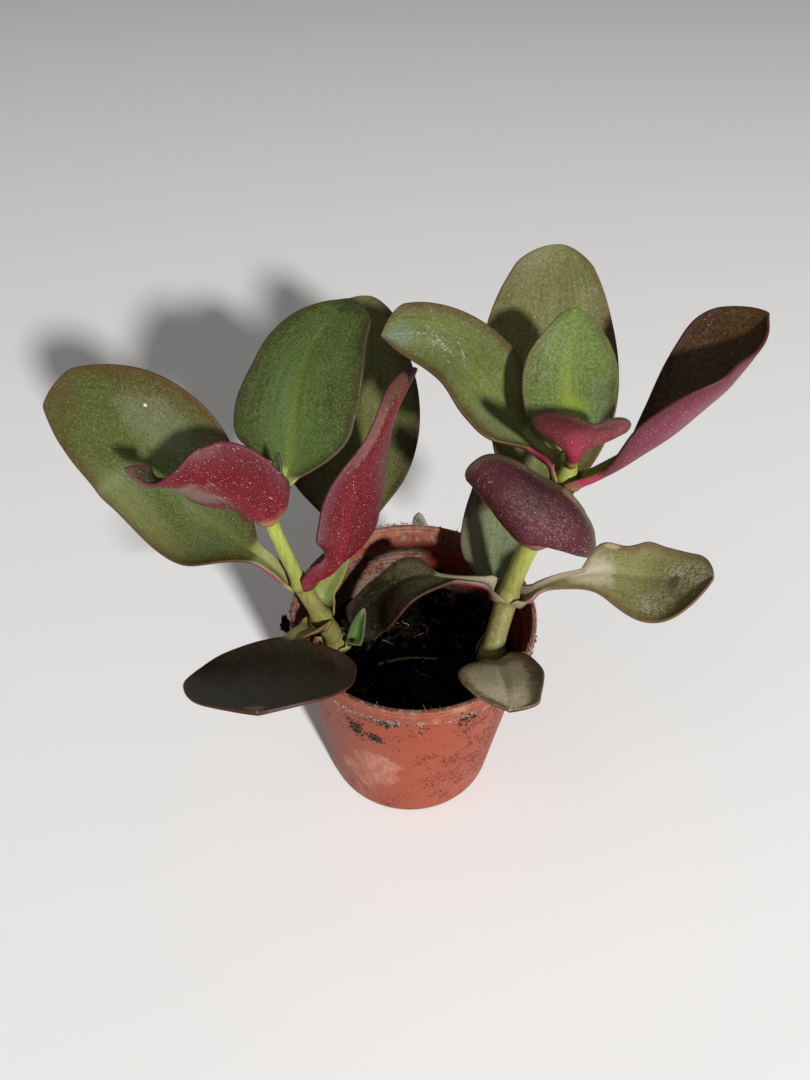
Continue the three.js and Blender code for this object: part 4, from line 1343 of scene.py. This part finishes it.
def soil_material(name, settings):
    """Dark peat: black hollows, brown crumbs and a few pale grains."""
    graph = Graph(name)
    rough = graph.noise(graph.place, 0.7, 8, 0.75)
    fine = graph.noise(graph.place, 3.0, 5, 0.7)
    colour = graph.mix(rough.rise(0.45, 0.7), settings.dark, settings.light)
    _, draw = graph.cells(graph.place, 1.6)
    colour = graph.mix(draw.rise(0.96, 0.97) * 0.5, colour, tint(SOIL_GRAIN))
    relief = graph.bump(rough + fine * 0.5, 0.5)
    return graph.finish(colour, fine * 0.1 + 0.85, relief, specular=0.12)


def on_soil(angle, radius, lift):
    """Places on the soil, at angles round the pot's axis and distances from it, lifted."""
    x, y = radius * np.cos(angle), radius * np.sin(angle)
    return np.stack([x, y, soil_height(x, y) + lift], axis=-1)


def round_the_pot(angle, reach, level):
    """Places at angles round the pot's axis, distances from it and heights."""
    return np.stack([reach * np.cos(angle), reach * np.sin(angle), level], axis=-1)


def wall_reach(level, settings):
    """Distance from the axis to the outside of the pot, collar or wall, at each height."""
    rim, height = pot_size()
    return np.where(level > height - settings.collar, rim, outer_wall(level, settings))


# The twelve corners of a crumb and its faces, each later squeezed, turned and dented by chance
GOLD = (1 + 5 ** 0.5) / 2
CRUMB_POINTS = np.array([
    (-1, GOLD, 0), (1, GOLD, 0), (-1, -GOLD, 0), (1, -GOLD, 0), (0, -1, GOLD), (0, 1, GOLD),
    (0, -1, -GOLD), (0, 1, -GOLD), (GOLD, 0, -1), (GOLD, 0, 1), (-GOLD, 0, -1), (-GOLD, 0, 1),
]) / math.hypot(1, GOLD)
CRUMB_FACES = np.array([
    (0, 11, 5), (0, 5, 1), (0, 1, 7), (0, 7, 10), (0, 10, 11), (1, 5, 9), (5, 11, 4), (11, 10, 2),
    (10, 7, 6), (7, 1, 8), (3, 9, 4), (3, 4, 2), (3, 2, 6), (3, 6, 8), (3, 8, 9), (4, 9, 5),
    (2, 4, 11), (6, 2, 10), (8, 6, 7), (9, 8, 1),
])


def scattered(places, sizes, seed, flat=0.8):
    """A dented crumb at each place: the corners times a drawn length each, squeezed along
    three drawn shares, turned by a drawn rotation and moved to its place."""
    draw = np.random.default_rng(seed)
    count = len(places)
    corners = CRUMB_POINTS[None] * draw.uniform(0.7, 1.25, (count, 12, 1))
    corners = corners * draw.uniform(0.55, 1.3, (count, 1, 3)) * sizes[:, None, None]
    turns, _ = np.linalg.qr(draw.normal(size=(count, 3, 3)))
    turns[np.linalg.det(turns) < 0, :, 0] *= -1
    corners = np.einsum("kij,knj->kni", turns, corners)
    corners[..., 2] *= flat
    points = (corners + places[:, None]).reshape(-1, 3)
    faces = (CRUMB_FACES[None] + 12 * np.arange(count)[:, None, None]).reshape(-1, 3)
    return points, np.zeros((0, 4), int), faces


def strands(feet, ways, lengths, radii, seed, steps=7):
    """Thin three-sided hairs: each runs from its foot along its way and curls aside by a
    drawn vector times the square of the way gone, thinning to its tip."""
    draw = np.random.default_rng(seed)
    count = len(feet)
    s = np.linspace(0, 1, steps)[None, :, None]
    curl = draw.normal(size=(count, 1, 3)) * 0.55
    kink = draw.normal(size=(count, 1, 3)) * 0.12
    lines = feet[:, None] + lengths[:, None, None] * (
        ways[:, None] * s + curl * s * s + kink * np.sin(s * 9))
    tangent = unit(np.gradient(lines, axis=1))
    side = unit(np.cross(tangent, unit(draw.normal(size=(count, 1, 3)))))
    other = np.cross(tangent, side)
    thin = radii[:, None, None] * (1 - 0.7 * s)
    angle = np.linspace(0, 2 * np.pi, 3, endpoint=False)
    rings = (lines[:, :, None] + thin[..., None] * (
        side[:, :, None] * np.cos(angle)[None, None, :, None]
        + other[:, :, None] * np.sin(angle)[None, None, :, None]))
    block = 3 * steps
    first = (block * np.arange(count))[:, None, None]
    quads = (ring_faces(steps, 3)[None] + first).reshape(-1, 4)
    ends = np.array([[2, 1, 0], [block - 3, block - 2, block - 1]])
    return rings.reshape(-1, 3), quads, (ends[None] + first).reshape(-1, 3)


# Each dry matter's darker and paler colour, roughness and scale of grain
DRY_MATTER = {
    "mineral_crust": ("8a7468", "c8b8aa", 0.8, 2.2),
    "root_hair": ("a89682", "d8cdbc", 0.75, 2),
    "wall_peat": ("0c0806", "33241a", 0.85, 2.5),
    "dusty_hair": ("4c4238", "a09484", 0.8, 2),
    "dry_straw": ("6a543a", "a8906a", 0.7, 2.5),
    "dry_leaf": ("5a5646", "98937c", 0.8, 1.8),
}


def dry_material(name):
    """A dry, two-toned matter with a fine grain."""
    dark, pale, roughness, scale = DRY_MATTER[name]
    graph = Graph(name)
    fine = graph.noise(graph.place, scale, 6, 0.7)
    colour = graph.mix(fine.rise(0.4, 0.65), tint(dark), tint(pale))
    return graph.finish(colour, fine * 0.1 + roughness, graph.bump(fine, 0.25))


# Fineness of the stem skins, their closed tops and the rings at their nodes
STEM_STEP = 0.3
STEM_AROUND = 48
STEM_END = 1.2
RING_LENGTH = 0.35
RING_HEIGHT = 0.12
RING_PLACE = 1.5


def stem_surface(stem):
    """The skin of a stem and how strong its node rings are at each point. The radius follows
    the nodes, closes in a quarter round at the top, and has slow swells and a narrow bell
    at the ring below each node."""
    length = stem.path.length
    u = np.linspace(0, 1, int(length / STEM_STEP))
    centre, ahead = stem.path.at(u)
    closing = 1 - np.clip((1 - u) * length / STEM_END, 0, 1)
    radius = stem.radius(u) * np.sqrt(np.clip(1 - closing ** 2, 0.0004, 1))
    angle = np.linspace(0, 2 * np.pi, STEM_AROUND, endpoint=False)
    side = unit(np.cross(ahead, [1.0, 0, 0]))
    away = [(u - place) * length for place in stem.nodes.values()]
    ring = sum(np.exp(-((a + RING_PLACE) / RING_LENGTH) ** 2) for a in away)
    relief = swells(angle[None] * 2.2, u[:, None] * length, 11, (12, 3), (0.03, 0.012))
    reach = radius[:, None] * (1 + relief) + RING_HEIGHT * ring[:, None]
    rings = swept(centre, np.cross(side, ahead), side, angle, reach)
    strength = np.concatenate([np.repeat(np.clip(ring, 0, 1), STEM_AROUND), [0, 0]])
    return closed_tube(rings, centre[0], centre[-1]), strength


class CRASSULA_OT_pot(bpy.types.Operator):
    """Makes the plastic pot with its collar, ledge and drain holes"""

    bl_idname = "crassula.pot"
    bl_label = "Pot"

    def execute(self, context):
        settings = context.scene.pot_look
        skin = lathe(pot_profile(settings), settings.segments)
        pot = make_piece("pot_shell", skin, pot_material(settings), ["pot"])
        for hole in range(DRAINS):
            angle = hole / DRAINS * 2 * math.pi
            bpy.ops.mesh.primitive_cylinder_add(
                vertices=24, radius=DRAIN_RADIUS * MM, depth=FLOOR_THICKNESS * 4 * MM,
                location=(DRAIN_CIRCLE * MM * math.cos(angle), DRAIN_CIRCLE * MM * math.sin(angle), 0),
            )
            drill = context.object
            cut = pot.modifiers.new("drain", "BOOLEAN")
            cut.operation = "DIFFERENCE"
            cut.solver = "EXACT"
            cut.object = drill
            context.view_layer.objects.active = pot
            bpy.ops.object.modifier_apply(modifier=cut.name)
            bpy.data.objects.remove(drill)
        return {"FINISHED"}


class CRASSULA_OT_soil(bpy.types.Operator):
    """Makes the soil and the loose crumbs on it"""

    bl_idname = "crassula.soil"
    bl_label = "Soil"

    def execute(self, context):
        settings = context.scene.soil_look
        pot = context.scene.pot_look
        foot = FLOOR_THICKNESS + 0.3
        low, edge = (outer_wall(z, pot) - pot.wall - SOIL_GAP for z in (foot, settings.level))
        profile = [(0, foot), (low * 0.5, foot), (low, foot), ((low + edge) / 2, (foot + 34) / 2)]
        profile += [(edge - 0.6, 33), (edge - 0.1, settings.level - 0.4)]
        profile += [(radius, settings.level) for radius in np.linspace(edge, 0, SOIL_RINGS)]
        points, quads, triangles = lathe(np.array(profile), SOIL_SEGMENTS)
        top = points[:, 2] > settings.level - 0.01
        x, y = points[top, 0], points[top, 1]
        clods = swells(x, y, settings.seed, (7, 3.6, 1.7, 0.9), (0.3, 0.28, 0.16, 0.1))
        points[top, 2] = soil_height(x, y) + clods
        peat = soil_material("peat", settings)
        make_piece("soil_bed", (points, quads, triangles), peat, ["soil"])

        draw = np.random.default_rng(settings.seed + 1)
        count = settings.crumbs
        radius = np.sqrt(draw.uniform(0, 1, count)) * (edge - 0.9)
        angle = draw.uniform(0, 2 * np.pi, count)
        sizes = np.clip(draw.lognormal(-0.9, 0.5, count), 0.16, 1.5)
        places = on_soil(angle, radius, 0.2 * sizes + draw.uniform(0, 0.4, count))
        make_piece("soil_crumbs", scattered(places, sizes, settings.seed + 2), peat)
        return {"FINISHED"}


class CRASSULA_OT_stems(bpy.types.Operator):
    """Makes the two stems with their swollen, ringed nodes"""

    bl_idname = "crassula.stems"
    bl_label = "Stems"

    def execute(self, context):
        settings = context.scene.stem_look
        for name in STEMS:
            skin, ring = stem_surface(Stem(name))
            material = stem_material(name + "_green", settings)
            make_piece(name + "_skin", skin, material, [name], {"ring": ring})
        return {"FINISHED"}


class CRASSULA_OT_leaves(bpy.types.Operator):
    """Makes every leaf from its midrib, outline and bend"""

    bl_idname = "crassula.leaves"
    bl_label = "Leaves"

    def execute(self, context):
        settings = context.scene.leaf_look
        for seed, (name, leaf) in enumerate(LEAVES.items(), LEAF_SEED):
            points, u, v, layers = leaf_surface(leaf, seed, settings)
            uv = np.stack([u.ravel(), (v.ravel() + 1) / 2], axis=-1)
            make_piece(name.replace("_leaf", "_blade"), closed_sheet(points),
                       leaf_material(name + "_skin", leaf), [name], layers, uv)
        return {"FINISHED"}


# Where crumbs cling to the pot: angle round it, height, spread sideways and up
CRUMB_MARKS = [
    (-117, 41.5, 2, 2), (-107, 39, 1.8, 1.2), (-63, 47, 3, 2.5), (-100, 48, 5, 1.2),
    (-30, 52, 9, 1.6), (172, 51.5, 7, 1.8), (100, 53, 12, 1),
]

# Where tufts of hairs lie on the pot, and points of the straw on the soil
HAIR_ANGLES = [-108, -100, -28, 104]
STRAW = [(-7.9, -2.9), (-1.6, -1.1), (6, -1.3)]


def rim_crust(pot, draw):
    """Grains of mineral crust round the foot of the collar."""
    rim, height = pot_size()
    foot = height - pot.collar
    count = 700
    angle = draw.uniform(0, 2 * np.pi, count)
    level = foot + draw.normal(0.1, 0.45, count)
    reach = np.where(level > foot, rim, outer_wall(foot, pot) + 0.1)
    sizes = draw.uniform(0.08, 0.22, count)
    skin = scattered(round_the_pot(angle, reach, level), sizes, 6, 1)
    make_piece("rim_crust", skin, dry_material("mineral_crust"))


def rim_hairs(pot, draw, hair):
    """Short hairs on the rim and on the foot of the collar, more of them on the right."""
    rim, height = pot_size()
    angle = np.concatenate([draw.uniform(0, 2 * np.pi, 260), draw.normal(-0.35, 0.35, 160)])
    count = len(angle)
    edge = draw.uniform(0, 1, count) < 0.5
    level = np.where(edge, height, height - pot.collar) + draw.normal(0, 0.2, count)
    feet = round_the_pot(angle, np.where(edge, rim - 0.4, rim - 0.2), level)
    ways = round_the_pot(angle, 1, draw.normal(0, 0.6, count))
    ways = unit(ways * 0.5 + draw.normal(size=(count, 3)) * 0.8)
    lengths = draw.uniform(0.5, 1.6, count)
    radii = draw.uniform(0.04, 0.07, count)
    make_piece("rim_hairs", strands(feet, ways, lengths, radii, 8), hair)


def wall_crumbs(pot, draw):
    """Crumbs of peat that cling to the pot in a few places."""
    rim, height = pot_size()
    count = 420
    spot = np.array(CRUMB_MARKS)[draw.integers(0, len(CRUMB_MARKS), count)]
    angle = np.radians(spot[:, 0]) + draw.normal(0, 0.5, count) * spot[:, 2] / rim
    level = np.minimum(spot[:, 1] + draw.normal(0, 0.6, count) * spot[:, 3], height - 0.2)
    places = round_the_pot(angle, wall_reach(level, pot), level)
    sizes = np.clip(draw.lognormal(-1.5, 0.45, count), 0.1, 0.6)
    skin = scattered(places, sizes, 16, 1)
    make_piece("wall_crumbs", skin, dry_material("wall_peat"))


def collar_hairs(pot, draw):
    """Tufts of dusty hairs that lie along the collar, and one on the back of the rim."""
    _, height = pot_size()
    count = 260
    angle = np.radians(draw.choice(HAIR_ANGLES, count)) + draw.normal(0, 0.12, count)
    back = angle > 0
    level = np.where(back, height + 0.1, height - pot.collar + draw.normal(-0.3, 1.0, count))
    feet = round_the_pot(angle, wall_reach(level, pot) + 0.05, level)
    rise = np.where(back, 0.05, 0.7) * draw.normal(0, 1, count)
    ways = np.stack([-np.sin(angle), np.cos(angle), rise], axis=-1)
    ways = unit(ways * draw.choice([-1, 1], (count, 1)) + draw.normal(size=(count, 3)) * 0.25)
    skin = strands(feet, ways, draw.uniform(0.5, 1.4, count), np.full(count, 0.05), 18)
    make_piece("collar_hairs", skin, dry_material("dusty_hair"))


def soil_fibres(draw, hair):
    """Longer fibres that lie on the soil."""
    count = 26
    radius = np.sqrt(draw.uniform(0, 1, count)) * 21
    angle = draw.uniform(0, 2 * np.pi, count)
    ways = [draw.normal(size=count), draw.normal(size=count), draw.uniform(0, 0.6, count)]
    ways = unit(np.stack(ways, axis=-1))
    lengths = draw.uniform(2, 5, count)
    skin = strands(on_soil(angle, radius, 0.3), ways, lengths, np.full(count, 0.07), 9, 12)
    make_piece("soil_fibres", skin, hair)


def rim_clump(soil):
    """A lumpy clump that fills the box of its solid: a ball whose radius is a sum of waves."""
    low, high = (np.array(corner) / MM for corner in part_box("rim_crumb"))
    theta = np.linspace(0, np.pi, 26)[:, None]
    phi = np.linspace(0, 2 * np.pi, 40, endpoint=False)[None]
    lump = 0.72 + swells(phi * 3 + 0 * theta, theta * 5, 14, (6, 2.6, 1.1), (0.2, 0.14, 0.08))
    flat = np.sin(theta)
    way = np.stack([flat * np.cos(phi), flat * np.sin(phi), np.cos(theta) + 0 * phi], axis=-1)
    points = (low + high) / 2 + way * lump[..., None] * (high - low) / 2
    skin = closed_tube(points[1:-1], points[0, 0], points[-1, 0])
    make_piece("rim_clump", skin, soil_material("clump_peat", soil), ["rim_crumb"])


def straw_stalk():
    """A flattened dry stalk lying across the soil, grooved along its length. Its half width
    shrinks to one end and swells a little again and again."""
    path = Path([(x, y, float(soil_height(x, y)) + 1.1) for x, y in STRAW])
    u = np.linspace(0, 1, 60)
    centre, ahead = path.at(u)
    side = unit(np.cross(ahead, [0, 0, 1.0]))
    angle = np.linspace(0, 2 * np.pi, 14, endpoint=False)
    reach = 0.42 * (1 - 0.45 * u[:, None]) * (1 + 0.14 * np.cos(5 * angle))
    reach = reach * (0.9 + 0.1 * np.sin(u[:, None] * 40))
    rings = swept(centre, side, np.cross(side, ahead), angle, reach, 0.55)
    skin = closed_tube(rings, centre[0], centre[-1])
    make_piece("straw_stalk", skin, dry_material("dry_straw"), ["straw"])


def leaf_scrap():
    """A curled scrap of dead leaf that stands on the rim: flat ovals that narrow upwards
    and bend by a wave of the way across."""
    low, high = (np.array(corner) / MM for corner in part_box("dry_scrap"))
    u = np.linspace(0, 1, 30)[:, None]
    angle = np.linspace(0, 2 * np.pi, 40, endpoint=False)[None]
    half = (high[0] - low[0]) / 2 * (1 - 0.5 * u) * np.sqrt(np.clip(1 - u ** 6, 0.01, 1))
    x = (low[0] + high[0]) / 2 + half * np.cos(angle) - 0.5 * u
    y = (low[1] + high[1]) / 2 + 0.35 * np.sin(angle) + 0.3 * np.cos(x * 1.3 + 3 * u)
    z = low[2] + (high[2] - low[2]) * u * (0.94 + 0.05 * np.sin(x * 2)) + 0 * angle
    skin = closed_sheet(np.stack([x, y, z], axis=-1))
    make_piece("leaf_scrap", skin, dry_material("dry_leaf"), ["dry_scrap"])


class CRASSULA_OT_litter(bpy.types.Operator):
    """Makes the straw, the dry scrap, the dirt on the rim and the fine root hairs"""

    bl_idname = "crassula.litter"
    bl_label = "Litter"

    def execute(self, context):
        pot = context.scene.pot_look
        draw = np.random.default_rng(5)
        rim_crust(pot, draw)
        hair = dry_material("root_hair")
        rim_hairs(pot, draw, hair)
        wall_crumbs(pot, draw)
        collar_hairs(pot, draw)
        soil_fibres(draw, hair)
        rim_clump(context.scene.soil_look)
        straw_stalk()
        leaf_scrap()
        return {"FINISHED"}


# The camera's focal length and the middle of the rim, right of and below the picture's
# middle, all in pixels of a picture of 810 by 1080
FOCAL = 811.0
PICTURE_HEIGHT = 1080
RIM_RIGHT = 8.6
RIM_BELOW = 68.5
SENSOR = 36

# Each light's direction from the plant, distance and size in metres
LIGHTS = {
    "key": ((0.41, -0.80, 0.47), 2.0, 0.16),
    "fill": ((-0.7, -0.3, 0.9), 1.5, 1.2),
}
LIGHT_TARGET = (0, 0, 0.07)
FLOOR_HALF = 4.0
FLOOR_DROP = 0.0001


def turned_pair(first, second, angle):
    """Two directions at right angles, turned so that the first goes towards the second: the
    first's cosine and the second's sine, and the second's cosine less the first's sine."""
    share, other = math.cos(angle), math.sin(angle)
    return share * first + other * second, share * second - other * first


def placed_matrix(right, high, back, place):
    """The matrix of an object at a place, with its own axes along three directions."""
    rows = np.eye(4)
    rows[:3] = np.stack([right, high, back, place], axis=-1)
    return Matrix(rows.tolist())


def camera_matrix(settings):
    """Looks at the middle of the rim from the set distance and elevation, rolls, then pans so
    that this middle falls a little right of and below the middle of the picture."""
    _, target_height = pot_size()
    pitch = math.radians(settings.elevation)
    ahead = np.array([0, math.cos(pitch), -math.sin(pitch)])
    high = np.array([0, math.sin(pitch), math.cos(pitch)])
    place = np.array([0, 0, target_height]) - ahead * settings.distance
    right, high = turned_pair(np.array([1.0, 0, 0]), high, -math.radians(settings.roll))
    right, ahead = turned_pair(right, ahead, math.atan2(RIM_RIGHT, FOCAL))
    high, ahead = turned_pair(high, ahead, math.atan2(-RIM_BELOW, math.hypot(FOCAL, RIM_RIGHT)))
    return placed_matrix(right, high, -ahead, place * MM)


class CRASSULA_OT_stage(bpy.types.Operator):
    """Makes the camera, the lights and the pale floor"""

    bl_idname = "crassula.stage"
    bl_label = "Stage"

    def execute(self, context):
        settings = context.scene.stage_look
        lens = bpy.data.cameras.new("camera")
        lens.sensor_width = SENSOR
        lens.lens = FOCAL / PICTURE_HEIGHT * SENSOR
        lens.clip_start, lens.clip_end = 0.005, 50
        camera = bpy.data.objects.new("camera", lens)
        context.scene.collection.objects.link(camera)
        camera.matrix_world = camera_matrix(settings)
        context.scene.camera = camera
        for name in LIGHTS:
            self.light(name, getattr(settings, name))

        world = bpy.data.worlds.new("world")
        world.use_nodes = True
        background = world.node_tree.nodes["Background"]
        background.inputs["Color"].default_value = (1, 1, 1, 1)
        background.inputs["Strength"].default_value = settings.world
        context.scene.world = world
        context.scene.view_settings.view_transform = "Standard"

        ways = [(-1, -1), (1, -1), (1, 1), (-1, 1)]
        corners = [(x * FLOOR_HALF, y * FLOOR_HALF, -FLOOR_DROP) for x, y in ways]
        mesh = bpy.data.meshes.new("floor")
        mesh.from_pydata(corners, [], [(0, 1, 2, 3)])
        graph = Graph("floor_paint")
        grain = graph.noise(graph.place, 0.02, 3)
        tone = graph.mix(grain * 0.05, settings.floor, tint("e8e6e2"))
        mesh.materials.append(graph.finish(tone, grain * 0.1 + 0.6))
        floor = bpy.data.objects.new("floor", mesh)
        context.scene.collection.objects.link(floor)
        return {"FINISHED"}

    def light(self, name, power):
        """A round light that faces the plant from a direction and a distance in metres."""
        way, distance, size = LIGHTS[name]
        lamp = bpy.data.lights.new(name, "AREA")
        lamp.shape = "DISK"
        lamp.size = size
        lamp.energy = power
        shining = bpy.data.objects.new(name, lamp)
        bpy.context.scene.collection.objects.link(shining)
        direction = unit(np.array(way))
        side = unit(np.cross([0, 0, 1.0], direction))
        place = np.array(LIGHT_TARGET) + direction * distance
        shining.matrix_world = placed_matrix(side, np.cross(direction, side), direction, place)


class CRASSULA_PT_panel(bpy.types.Panel):
    """Lists the operators and their settings in the 3D view's sidebar"""

    bl_label = "Crassula"
    bl_idname = "CRASSULA_PT_panel"
    bl_space_type = "VIEW_3D"
    bl_region_type = "UI"
    bl_category = "Crassula"

    def draw(self, context):
        for name, settings in LOOK_GROUPS.items():
            box = self.layout.box()
            for key in settings.__annotations__:
                box.prop(getattr(context.scene, name), key)
        for operator in OPERATORS:
            self.layout.operator(operator.bl_idname)


LOOK_GROUPS = {
    "pot_look": PotSettings,
    "soil_look": SoilSettings,
    "stem_look": StemSettings,
    "leaf_look": LeafSettings,
    "stage_look": StageSettings,
}
OPERATORS = (
    CRASSULA_OT_pot, CRASSULA_OT_soil, CRASSULA_OT_stems, CRASSULA_OT_leaves,
    CRASSULA_OT_litter, CRASSULA_OT_stage,
)


def register():
    for settings in LOOK_GROUPS.values():
        bpy.utils.register_class(settings)
    for name, settings in LOOK_GROUPS.items():
        setattr(bpy.types.Scene, name, bpy.props.PointerProperty(type=settings))
    for operator in (*OPERATORS, CRASSULA_PT_panel):
        bpy.utils.register_class(operator)


def unregister():
    for operator in (CRASSULA_PT_panel, *reversed(OPERATORS)):
        bpy.utils.unregister_class(operator)
    for name, settings in LOOK_GROUPS.items():
        delattr(bpy.types.Scene, name)
        bpy.utils.unregister_class(settings)


def main():
    register()
    bpy.ops.crassula.stage()
    bpy.ops.crassula.pot()
    bpy.ops.crassula.soil()
    bpy.ops.crassula.stems()
    bpy.ops.crassula.leaves()
    bpy.ops.crassula.litter()


if __name__ == "__main__":
    main()
